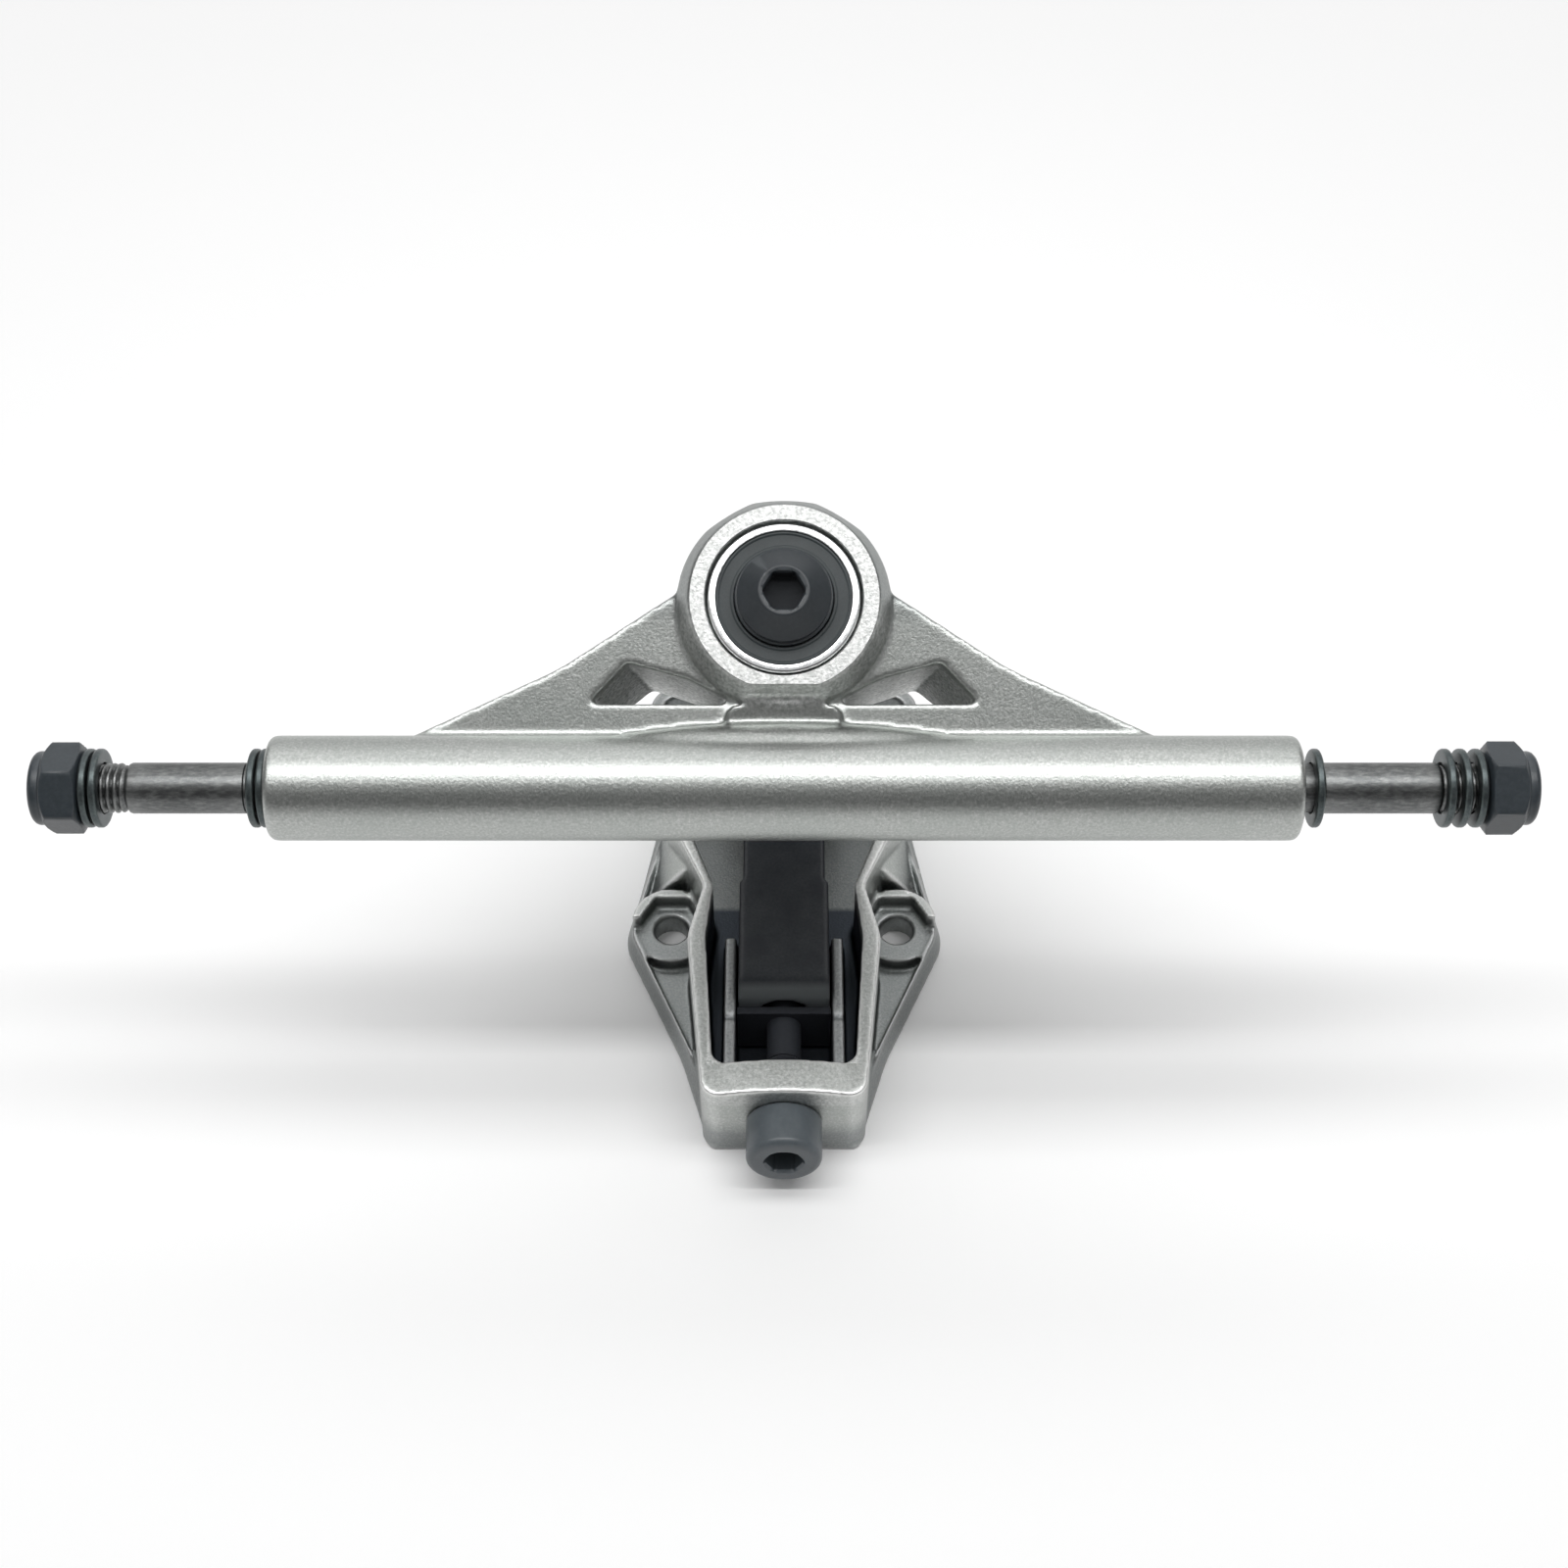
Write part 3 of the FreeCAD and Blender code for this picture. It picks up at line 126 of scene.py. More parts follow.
def ramp(tree, value, stops):
    """Colour ramp from a value; stops are (place, brightness or colour)."""
    made = add(tree, "ShaderNodeValToRGB", {0: value})
    bands = made.color_ramp.elements
    while len(bands) < len(stops):
        bands.new(0.5)
    for band, (place, tone) in zip(bands, stops):
        band.position = place
        colour = tone if isinstance(tone, tuple) else (tone, tone, tone)
        band.color = colour + (1.0,)
    return made.outputs["Color"]


def mixed(tree, share, first, second, blend="MIX"):
    """Colour made from two colours, by the share of the second."""
    made = add(tree, "ShaderNodeMix", data_type="RGBA", blend_type=blend)
    for socket, value in ((0, share), (6, first), (7, second)):
        if isinstance(value, bpy.types.NodeSocket):
            tree.links.new(value, made.inputs[socket])
        else:
            made.inputs[socket].default_value = value if socket == 0 else tuple(value) + (1.0,)
    return made.outputs[2]


def grain(tree, place, size_mm, detail=2.0, roughness=0.5, stretch=(1, 1, 1)):
    """Noise whose blotches are about size_mm across, from 0 to 1."""
    scaled = add(tree, "ShaderNodeMapping", {0: place, 3: stretch}).outputs[0]
    return add(tree, "ShaderNodeTexNoise", {
        "Vector": scaled, "Scale": 1.0 / (size_mm * MM), "Detail": detail, "Roughness": roughness,
    }).outputs[0]


print("colour helpers ready")

# %% [markdown]
# ## Masks
# Several looks sit in one place: a coarse wall in a window, shade painted dark into the
# barrel's foot and the channel, a highlight painted along an edge. Painting such places by
# hand is lost when the mesh changes. Here each is a mask, a number from 0 to 1 worked out
# from where a point lies on the truck, so it stays right in every view and on any mesh.


# %% Helpers for masks
def object_place(tree):
    """Where a point lies on its own piece, in metres."""
    return add(tree, "ShaderNodeTexCoord").outputs["Object"]


def apart(tree, place):
    """The three coordinates of a place."""
    return add(tree, "ShaderNodeSeparateXYZ", {0: place}).outputs


def times(tree, *masks):
    """Product of masks or shares: 1 only where all of them are."""
    product = masks[0]
    for mask in masks[1:]:
        product = maths(tree, "MULTIPLY", product, mask)
    return product


def either(tree, first, second):
    """The stronger of two masks."""
    return maths(tree, "MAXIMUM", first, second)


def fading(tree, value, none, full):
    """Mask that goes from 0 where the value is none to 1 where it is full, in millimetres."""
    limits = {0: value, 1: none * MM, 2: full * MM, 3: 0.0, 4: 1.0}
    return add(tree, "ShaderNodeMapRange", limits).outputs[0]


def within(tree, value, low, high, soft=0.6):
    """Mask that is 1 between low and high millimetres and fades out over soft."""
    return times(tree, fading(tree, value, low - soft, low), fading(tree, value, high + soft, high))


def convex_edges(tree, start, full):
    """Mask of the convex edges, from how pointed the mesh is there."""
    pointed = add(tree, "ShaderNodeNewGeometry").outputs["Pointiness"]
    return ramp(tree, pointed, [(start, 0.0), (full, 1.0)])


print("mask helpers ready")

# %% [markdown]
# ## Table
# The table is white paper. Seen by the camera or in a reflection it gets a little extra
# brightness of its own, so that it reads as white, while its diffuse part still takes the
# truck's soft shadow. Farther out it turns into a blank backdrop. More light on the truck
# would also give a white table, but the metal would burn out first.

# %% White table that keeps the shadow
WHITE = (1.0, 1.0, 1.0, 1.0)
WHITE_LEVEL = 0.98
TABLE_GLOW = 0.05
PAPER_TONE = (0.78, 0.78, 0.78)
PAPER_TONE_SEEN = (0.935, 0.935, 0.935)
BLANK_FROM, BLANK_FULL = 160, 600
TABLE_REACH = 6.0
paper, tree, output = new_material("white_paper")
rays = add(tree, "ShaderNodeLightPath").outputs
seen = either(tree, rays["Is Camera Ray"], rays["Is Glossy Ray"])
seen = either(tree, seen, rays["Is Transmission Ray"])
matt = add(tree, "ShaderNodeBsdfDiffuse", {"Color": mixed(tree, seen, PAPER_TONE, PAPER_TONE_SEEN)})
glow = add(tree, "ShaderNodeEmission", {"Color": WHITE, "Strength": times(tree, seen, TABLE_GLOW)})
near = add(tree, "ShaderNodeAddShader", {0: matt.outputs[0], 1: glow.outputs[0]}).outputs[0]
spot = object_place(tree)
distance = add(tree, "ShaderNodeVectorMath", {0: spot}, operation="LENGTH").outputs["Value"]
far = times(tree, fading(tree, distance, BLANK_FROM, BLANK_FULL), seen)
blank = add(tree, "ShaderNodeEmission", {"Color": WHITE, "Strength": WHITE_LEVEL}).outputs[0]
sight = add(tree, "ShaderNodeMixShader", {0: far, 1: near, 2: blank}).outputs[0]
tree.links.new(sight, output.inputs[0])
sheet = bpy.data.meshes.new("table")
corners = [(-TABLE_REACH, -TABLE_REACH, 0), (TABLE_REACH, -TABLE_REACH, 0),
           (TABLE_REACH, TABLE_REACH, 0), (-TABLE_REACH, TABLE_REACH, 0)]
sheet.from_pydata(corners, [], [(0, 1, 2, 3)])
sheet.materials.append(paper)
table = bpy.data.objects.new("table", sheet)
table.location.z = -0.05 * MM
scene.collection.objects.link(table)
print("table is", 2 * TABLE_REACH, "m wide")

# %% [markdown]
# ## Lamps and room
# Two long strip lamps hang over the truck, one a little in front of it and one a little
# behind, so the tube throws two shadows that overlap, and each draws a thin bright line
# along it. Two wide lamps behind fill the upper side. The rest of the light is a plain
# room, dark in front and bright behind, which gives the round tube its bright band with
# a darker one below it.


# %% Lamps
def softbox(name, place, aim, size, power):
    """Rectangular lamp at a place, turned to face the aim."""
    lamp = bpy.data.lights.new(name, "AREA")
    lamp.shape = "RECTANGLE"
    lamp.size, lamp.size_y = size
    lamp.energy = power
    holder = bpy.data.objects.new(name, lamp)
    holder.location = place
    holder.rotation_euler = (Vector(aim) - Vector(place)).to_track_quat("-Z", "Y").to_euler()
    scene.collection.objects.link(holder)


TUBE_AIM = (0.0, -0.05, 0.07)
softbox("front_strip", (0.0, -0.124, 0.62), TUBE_AIM, (0.90, 0.05), 1.6)
softbox("rear_strip", (0.0, 0.010, 0.62), TUBE_AIM, (0.90, 0.10), 1.5)
softbox("rear_band", (0.0, 0.30, 0.52), TUBE_AIM, (1.0, 0.16), 0.75)
softbox("rear_fill", (0.0, 0.75, 0.45), (0.0, 0.0, 0.05), (1.2, 0.5), 0.7)
print("lamps:", [lamp.name for lamp in bpy.data.lights])

# %% Room, dark in front and bright behind
ROOM_TONES = [(0.0, 0.15), (0.12, 0.15), (0.30, 0.46), (0.48, 0.36), (0.75, 0.36), (1.0, 0.62)]
SIDE_LOSS = 0.5
room = bpy.data.worlds.new("grey_room")
room.use_nodes = True
tree = room.node_tree
tree.nodes.clear()
direction = apart(tree, add(tree, "ShaderNodeTexCoord").outputs["Generated"])
shade = ramp(tree, maths(tree, "MULTIPLY_ADD", direction[1], 0.5, 0.5), ROOM_TONES)
to_side = times(tree, direction[0], direction[0])
strength = maths(tree, "SUBTRACT", 1.0, times(tree, to_side, SIDE_LOSS))
lit = add(tree, "ShaderNodeBackground", {"Color": shade, "Strength": strength}).outputs[0]
backdrop = add(tree, "ShaderNodeBackground", {"Color": WHITE, "Strength": WHITE_LEVEL}).outputs[0]
looked_at = add(tree, "ShaderNodeLightPath").outputs["Is Camera Ray"]
sky = add(tree, "ShaderNodeMixShader", {0: looked_at, 1: lit, 2: backdrop}).outputs[0]
tree.links.new(sky, tree.nodes.new("ShaderNodeOutputWorld").inputs[0])
scene.world = room
print("room tones from front to back:", [tone for place, tone in ROOM_TONES])

# %% [markdown]
# ## Measures on the pivot and the axle
# The hanger turns about a pivot that leans forward 30 degrees. Pieces that sit on the
# pivot or on the axle are turned shapes, so they are drawn upright about Z, in
# millimetres, and their mesh is then carried onto the leaning axis by one matrix.

# %% Where the pivot and the axle are
PIVOT_FOOT = 27.4
PIVOT_LEAN = math.radians(30.0)
RING_FACE = 107.4
TUBE_END = 80.25
tilt = Matrix.Rotation(PIVOT_LEAN, 4, "X")
on_pivot = Matrix.Translation((0, PIVOT_FOOT * MM, 0)) @ tilt
low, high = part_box("axle")
axle_middle = (low + high) / 2


def on_axle(side):
    """Carries a shape drawn along Z out to one end of the axle, side 1 right or -1 left."""
    return Matrix.Translation(axle_middle) @ tilt @ Matrix.Rotation(side * math.pi / 2, 4, "Y")


print("axle middle", [round(value / MM, 2) for value in axle_middle])

# %% [markdown]
# ## Turning a piece
# A nut, a screw, a ring or the axle is made by a skin through rings: each ring has a
# radius and a height. The radius may be a plain number, or a rule that depends on the
# angle, and that one trick gives hexagons, sockets and even screw threads. Corners are
# rounded before the skin is made, because a real turned edge always catches some light.


# %% Round the corners of an outline
def rounded(corners, steps=4):
    """Turns corners (radius, height, rounding) into places along a softened line."""
    line = []
    for index, (radius, height, soft) in enumerate(corners):
        here = Vector((radius, height))
        if soft <= 0 or index in (0, len(corners) - 1):
            line.append((radius, height))
            continue
        back = (Vector(corners[index - 1][:2]) - here).normalized()
        ahead = (Vector(corners[index + 1][:2]) - here).normalized()
        half = math.acos(max(-1.0, min(1.0, back.dot(ahead)))) / 2
        run = soft / math.tan(half)
        middle = here + (back + ahead).normalized() * (soft / math.sin(half))
        start, end = here + back * run - middle, here + ahead * run - middle
        for step in range(steps + 1):
            spoke = start.lerp(end, step / steps).normalized() * soft
            line.append(tuple(middle + spoke))
    return line


print("a square corner becomes", len(rounded([(1, 0, 0), (2, 0, 0.2), (2, 1, 0)])), "places")


# %% Skin through rings
def ring_row(shell, radius, height, turns):
    """The vertices of one ring; a radius of 0 is a single point."""
    if not callable(radius) and abs(radius) < 1e-9:
        return [shell.verts.new((0, 0, height * MM))]
    row = []
    for index in range(turns):
        angle = 2 * math.pi * index / turns
        reach = (radius(angle) if callable(radius) else radius) * MM
        row.append(shell.verts.new((reach * math.cos(angle), reach * math.sin(angle), height * MM)))
    return row


def skin(name, rings, turns=96, closed=False):
    """Mesh through rings of (radius, height) about Z."""
    shell = bmesh.new()
    rows = [ring_row(shell, radius, height, turns) for radius, height in rings]
    pairs = list(zip(rows, rows[1:]))
    if closed:
        pairs.append((rows[-1], rows[0]))
    for first, second in pairs:
        for index in range(turns):
            after = (index + 1) % turns
            if len(first) == 1:
                shell.faces.new((first[0], second[after], second[index]))
            elif len(second) == 1:
                shell.faces.new((first[index], first[after], second[0]))
            else:
                shell.faces.new((first[index], first[after], second[after], second[index]))
    bmesh.ops.recalc_face_normals(shell, faces=shell.faces)
    mesh = bpy.data.meshes.new(name)
    shell.to_mesh(mesh)
    shell.free()
    return mesh


def hexagon(flats, turn=0.0, limit=None):
    """Radius rule of a hexagon with this width over flats, cut back to a round limit."""
    def radius(angle):
        swing = (angle - turn) % (math.pi / 3) - math.pi / 6
        reach = flats / 2 / math.cos(swing)
        return min(reach, limit) if limit else reach
    return radius


print("a 13 mm hexagon reaches", round(hexagon(13.0)(0.0), 2), "mm at its corners")

# %% [markdown]
# ## Setting a piece on the truck
# Each finished mesh becomes an object that rides on one body of the truck, so it follows
# that body in every pose. It hides the model's own node, which stays for collisions.

# %% Put a piece in the scene
SHARP_ANGLE = math.radians(38)


def piece(name, mesh, place, material, body, stands_for=()):
    """Puts a finished mesh in the scene on its body, in place of the model's nodes."""
    mesh.transform(place)
    mesh.materials.append(material)
    mesh.shade_smooth()
    mesh.set_sharp_from_angle(angle=SHARP_ANGLE)
    made = bpy.data.objects.new(name, mesh)
    scene.collection.objects.link(made)
    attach(made, body)
    if stands_for:
        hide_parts(*stands_for)
    print(name, len(mesh.polygons), "faces on", body)
    return made


def paint(node_name, material):
    """Gives one of the model's own nodes its finish."""
    node = cad_nodes[node_name]
    for slot in node.material_slots:
        slot.link = "OBJECT"
        slot.material = material
    return node


print("edges sharper than", round(math.degrees(SHARP_ANGLE)), "degrees stay crisp")

# %% [markdown]
# ## Cast aluminium
# The hanger and the baseplate are cast and then tumbled. Up close such a surface is a
# satin grey with fine bright speckles. Three things make it: a metal shader of medium
# roughness, a fine grain that changes both brightness and height, and slow cloudy
# patches. Machined or broken-off faces are rougher and paler, so a mask lets the recipe
# change there. Convex edges are worn a little brighter.


# %% One last step for every finish
def coat(tree, output, colour, gloss, height, relief, plain):
    """Joins colour, roughness and a fine relief (strength, depth in mm) into one surface."""
    strength, depth = relief
    bump = add(tree, "ShaderNodeBump", {
        "Strength": strength, "Distance": depth * MM, "Height": height,
    })
    surface = add(tree, "ShaderNodeBsdfPrincipled", {
        "Base Color": colour, "Roughness": gloss, "Normal": bump.outputs[0], **plain,
    })
    tree.links.new(surface.outputs[0], output.inputs[0])


print("last step ready")

# %% Recipe for cast aluminium
CAST_TONES = [(0.34, (0.36, 0.375, 0.36)), (0.54, (0.455, 0.47, 0.455)),
              (0.70, (0.58, 0.59, 0.575))]
CLOUD_TONE = (0.37, 0.40, 0.38)
COARSE_TONES = [(0.32, (0.36, 0.375, 0.365)), (0.50, (0.60, 0.61, 0.60)),
                (0.7, (0.86, 0.865, 0.855))]
BARE_EDGE = (0.95, 0.95, 0.94)
# Near-black painted in as shade in hollows, and low on the base's flange.
PAINTED_SHADE_TONE = (0.07, 0.08, 0.095)
CAST_GLOSS = 0.29
COARSE_HEIGHT = 1.6


def cast_aluminium(name, rough_zone, dark_zone=None, worn=0.12, worn_from=0.505, pale_tone=1.0):
    """Cast finish; the zones are masks of its pale, coarse faces (partly painted light) and of places
    painted dark, mostly as shade.
    """
    material, tree, output = new_material(name)
    place = object_place(tree)
    fine = grain(tree, place, 0.42, 3.0, 0.65)
    coarse = grain(tree, place, 0.6, 3.0, 0.65)
    cloud = ramp(tree, grain(tree, place, 14.0, 2.0), [(0.35, 0.0), (0.7, 0.30)])
    rough = rough_zone(tree, place)
    tone = mixed(tree, cloud, ramp(tree, fine, CAST_TONES), CLOUD_TONE)
    pale = mixed(tree, 1.0, ramp(tree, coarse, COARSE_TONES), (pale_tone,) * 3, "MULTIPLY")
    tone = mixed(tree, rough, tone, pale)
    bare = times(tree, convex_edges(tree, worn_from, worn_from + 0.04), worn)
    tone = mixed(tree, bare, tone, BARE_EDGE)
    if dark_zone:
        # Painted shade: the dark zone pulls the tone towards near-black.
        tone = mixed(tree, dark_zone(tree, place), tone, PAINTED_SHADE_TONE)
    gloss = maths(tree, "MULTIPLY_ADD", fine, 0.16, CAST_GLOSS)
    gloss = maths(tree, "ADD", gloss, times(tree, rough, 0.12))
    height = maths(tree, "ADD", fine, times(tree, rough, coarse, COARSE_HEIGHT))
    coat(tree, output, tone, gloss, height, (0.50, 0.10), {"Metallic": 1.0})
    return material


print("cast recipe ready, gloss", CAST_GLOSS)

# %% [markdown]
# ## Where the hanger is coarse, paler or darker
# The windows in the web keep the coarse skin of the mould. The hub's cone is rougher and
# is painted paler, as painted light. The barrel's foot between the channel walls and its
# collar are painted darker, as painted shade. The pivot leans, so these places are measured
# along and across the pivot's own axis, which is simpler than cutting the mesh into patches.


# %% Measures about the leaning pivot
def by_pivot(tree, place):
    """Distance in front of or behind the pivot's axis, and height along it."""
    foot = (0, PIVOT_FOOT * MM, 0)
    across_axis = (0.0, math.cos(PIVOT_LEAN), math.sin(PIVOT_LEAN))
    along_axis = (0.0, -math.sin(PIVOT_LEAN), math.cos(PIVOT_LEAN))
    spot = add(tree, "ShaderNodeVectorMath", {0: place, 1: foot}, operation="SUBTRACT").outputs[0]
    across = add(tree, "ShaderNodeVectorMath", {0: spot, 1: across_axis}, operation="DOT_PRODUCT")
    along = add(tree, "ShaderNodeVectorMath", {0: spot, 1: along_axis}, operation="DOT_PRODUCT")
    return across.outputs["Value"], along.outputs["Value"]


def from_pivot(tree, place):
    """Distance from the pivot's axis."""
    across, along = by_pivot(tree, place)
    beside = apart(tree, place)[0]
    squares = maths(tree, "ADD", times(tree, across, across), times(tree, beside, beside))
    return maths(tree, "SQRT", squares)


print("the pivot leans", round(math.degrees(PIVOT_LEAN)), "degrees")

# %% Masks of the hanger
WINDOW_ACROSS = (-17.0, -8.0)
WINDOW_ALONG = (RING_FACE - 30, RING_FACE - 7.6)
WINDOW_BESIDE = (6.5, 32.0)
CONE_ACROSS = (1.0, -5.0)
CONE_ALONG = (RING_FACE - 8, RING_FACE - 6)
CONE_REACH = (18.5, 16.5)
CONE_SHARE = 0.7
FOOT_HEIGHT = (34.0, 18.0)
FOOT_SHARE = 0.62
COLLAR_ACROSS = (-4.0, 0.0)
COLLAR_ALONG = (RING_FACE - 12, RING_FACE - 9)
COLLAR_SHARE = 0.34


def window_walls(tree, place):
    """The coarse walls of the two windows in the hanger's web, and the hub's cone, rougher and
    painted paler as light.
    """
    across, along = by_pivot(tree, place)
    beside = maths(tree, "ABSOLUTE", apart(tree, place)[0])
    walls = times(tree, within(tree, across, *WINDOW_ACROSS), within(tree, along, *WINDOW_ALONG),
                  within(tree, beside, *WINDOW_BESIDE))
    # Painted light: the cone takes the paler coarse tone so it reads lighter.
    cone = times(tree, fading(tree, across, *CONE_ACROSS), fading(tree, along, *CONE_ALONG),
                 fading(tree, from_pivot(tree, place), *CONE_REACH), CONE_SHARE)
    return either(tree, walls, cone)


def barrel_painted_shade(tree, place):
    """The pivot barrel's foot between the channel walls and its collar, painted darker as shade."""
    across, along = by_pivot(tree, place)
    foot = times(tree, fading(tree, apart(tree, place)[2], *FOOT_HEIGHT), FOOT_SHARE)
    collar = times(tree, fading(tree, across, *COLLAR_ACROSS), fading(tree, along, *COLLAR_ALONG),
                   COLLAR_SHARE)
    return either(tree, foot, collar)


# The barrel's foot and collar are painted darker as shade.
hanger_metal = cast_aluminium("cast_hanger", window_walls, barrel_painted_shade)
print("finish of the hanger:", hanger_metal.name)

# %% [markdown]
# ## Where the base is coarse or painted darker
# The tops of the channel walls were sanded, and the tops of the guide ribs look
# crumbly. The inside of the channel is painted dark as shade, and the flange is painted
# darker towards the bottom. The base stands straight on the table, so plain coordinates
# are enough for its masks.

# %% Masks of the base
WALL_TOP = (14.2, 14.9)
WALL_SHARE = 0.45
RIB_TOP = (12.0, 13.0)
RIBS_BESIDE = (-13.0, 13.0)
RIBS_ALONG = (-64.0, -21.0)
CHANNEL_BESIDE = (-13.7, 13.7)
CHANNEL_ALONG = (-63.9, -21.0)
CHANNEL_HEIGHT = (16.8, 13.5)
FLANGE_HEIGHT = (9.0, 5.0)
FLANGE_SHARE = 0.45


def wall_tops(tree, place):
    """The tops of the channel walls, and more strongly the crumbly tops of the guide ribs."""
    beside, ahead, height = apart(tree, place)
    walls = times(tree, fading(tree, height, *WALL_TOP), WALL_SHARE)
    ribs = times(tree, within(tree, beside, *RIBS_BESIDE), within(tree, ahead, *RIBS_ALONG),
                 fading(tree, height, *RIB_TOP))
    return either(tree, walls, ribs)


def channel_painted_shade(tree, place):
    """The inside of the channel painted dark as shade, and the flange painted a little darker towards
    the bottom.
    """
    beside, ahead, height = apart(tree, place)
    hollow = times(tree, within(tree, beside, *CHANNEL_BESIDE, soft=0.5),
                   within(tree, ahead, *CHANNEL_ALONG, soft=2.0),
                   fading(tree, height, *CHANNEL_HEIGHT))
    flange_darker_low = times(tree, fading(tree, height, *FLANGE_HEIGHT), FLANGE_SHARE)
    return either(tree, hollow, flange_darker_low)


base_metal = cast_aluminium("cast_base", wall_tops, channel_painted_shade, worn=0.75, worn_from=0.502)
ground_face = cast_aluminium("ground_ring_face", lambda tree, place: 1.0, pale_tone=0.76)
print("finishes of the base and of ground faces:", base_metal.name, ground_face.name)

# %% [markdown]
# ## Softening the castings
# A casting has no knife edges: metal flows into every corner of the mould as a small
# radius. Bevelling so many meeting edges by hand is slow and fails where they cross. It
# is easier to rebuild the skin from small cubes (a voxel remesh) and let a few passes of
# smoothing wear the edges down, as a tumbling drum does. Both are modifiers, so the
# model's own mesh stays untouched below them.

# %% Round every edge of the castings
CUBE_MM = 0.38
HANGER_PASSES = 14
BASE_PASSES = 4


def soften(thing, cube_mm, passes):
    """Rebuilds a piece from small cubes and wears its edges down, both by modifiers."""
    cubes = thing.modifiers.new("cubes", "REMESH")
    cubes.mode = "VOXEL"
    cubes.voxel_size = cube_mm * MM
    cubes.use_smooth_shade = True
    wear = thing.modifiers.new("wear", "SMOOTH")
    wear.factor = 0.5
    wear.iterations = passes


soften(paint("hanger", hanger_metal), CUBE_MM, HANGER_PASSES)
soften(paint("baseplate", base_metal), CUBE_MM, BASE_PASSES)
print("castings rebuilt from cubes of", CUBE_MM, "mm")

# %% [markdown]
# ## Steel finishes
# The axle is plain steel, dull and scuffed by wheels pushed on and off it. Nuts and
# screws have a black oxide skin that looks blue-black and wears shiny at the corners.
# The bearing race is ground and polished. One recipe covers the metals: a base tone, a
# worn tone for the edges, fine scratches along one direction, and a gloss.

# %% Recipe for steel
# Near-black for oil on the cap screw, and as painted shade inside its socket.
OIL_AND_SHADE_TONE = (0.006, 0.007, 0.009)
STEEL_EDGE = (0.51, 0.58)


def steel(name, base, worn, gloss, scratch=(1, 1, 1), scratch_mm=0.5, scratch_share=0.4,
          metal=1.0, edge_share=0.6, dark_zone=None):
    """Steel from its base and worn tones; metal 0 is a black oxide skin over it."""
    material, tree, output = new_material(name)
    place = object_place(tree)
    streaks = grain(tree, place, scratch_mm, 4.0, 0.65, scratch)
    scratched = times(tree, ramp(tree, streaks, [(0.42, 0.0), (0.72, 1.0)]), scratch_share)
    tone = mixed(tree, scratched, base, worn)
    cloud = ramp(tree, grain(tree, place, 3.0, 3.0, 0.6), [(0.4, 0.0), (0.75, 0.35)])
    tone = mixed(tree, cloud, tone, tuple(value * 0.6 for value in base))
    tone = mixed(tree, times(tree, convex_edges(tree, *STEEL_EDGE), edge_share), tone, worn)
    dull = maths(tree, "MULTIPLY_ADD", streaks, 0.25, gloss - 0.12)
    if dark_zone:
        dark = dark_zone(tree, place)
        # The dark zone darkens the tone; inside the cap screw's socket this is painted shade.
        tone = mixed(tree, dark, tone, OIL_AND_SHADE_TONE)
        dull = either(tree, dull, dark)
    coat(tree, output, tone, dull, streaks, (0.15, 0.05), {"Metallic": metal})
    return material


print("steel recipe ready")

# %% Oily cap screw, with painted shade in its socket
SOCKET_TOP = RING_FACE + 4.7
SOCKET_REACH = (3.45, 3.1)
SOCKET_ALONG = (SOCKET_TOP - 0.2, SOCKET_TOP - 1.1)
SOCKET_SHARE = 0.85
CAP_REACH = (9.0, 8.0)
CAP_SHARE = 0.42


def cap_oil_and_socket_shade(tree, place):
    """The pivot's oily cap screw, and darker still the inside of its socket, as painted shade."""
    across, along = by_pivot(tree, place)
    radius = from_pivot(tree, place)
    inside = times(tree, fading(tree, radius, *SOCKET_REACH), fading(tree, along, *SOCKET_ALONG),
                   SOCKET_SHARE)
    return either(tree, times(tree, fading(tree, radius, *CAP_REACH), CAP_SHARE), inside)


print("the socket's mouth lies", round(SOCKET_TOP, 1), "mm up the pivot")

# %% Mix the steels
axle_metal = steel("scuffed_axle_steel", (0.125, 0.13, 0.130), (0.34, 0.345, 0.34), 0.40,
                   scratch=(0.35, 1, 1), scratch_share=0.6)
oxide = steel("black_oxide", (0.030, 0.038, 0.045), (0.12, 0.135, 0.145), 0.36,
              scratch_mm=0.6, scratch_share=0.12, metal=0.0, dark_zone=cap_oil_and_socket_shade)
screw_oxide = steel("screw_oxide", (0.085, 0.100, 0.112), (0.15, 0.17, 0.18), 0.34,
                    scratch_mm=0.6, scratch_share=0.15, metal=0.0, edge_share=0.3)
# Painted shade: a darker oxide for the thrust cup and the preload thread, which lie in the channel's
# shade.
shaded_oxide = steel("oxide_painted_shade", (0.017, 0.020, 0.027), (0.020, 0.024, 0.030), 0.75,
                  scratch_mm=0.6, scratch_share=0.15, metal=0.0, edge_share=0.2)
ring_metal = steel("blackened_rings", (0.045, 0.055, 0.06), (0.24, 0.28, 0.27), 0.36,
                   scratch_share=0.3, metal=0.8)
ground_metal = steel("ground_steel", (0.42, 0.42, 0.43), (0.65, 0.65, 0.65), 0.32,
                     scratch=(1, 1, 0.2), scratch_mm=0.4)
race_metal = steel("polished_race", (0.78, 0.79, 0.80), (0.90, 0.90, 0.90), 0.20,
                   scratch_mm=0.8, scratch_share=0.3)
cage_metal = steel("pressed_cage", (0.48, 0.44, 0.36), (0.66, 0.62, 0.54), 0.40)
spring_metal = steel("spring_wire", (0.20, 0.20, 0.21), (0.42, 0.42, 0.43), 0.35)
steels = (axle_metal, oxide, screw_oxide, shaded_oxide, ring_metal, ground_metal, race_metal,
          cage_metal, spring_metal)
print("steels:", [metal.name for metal in steels])

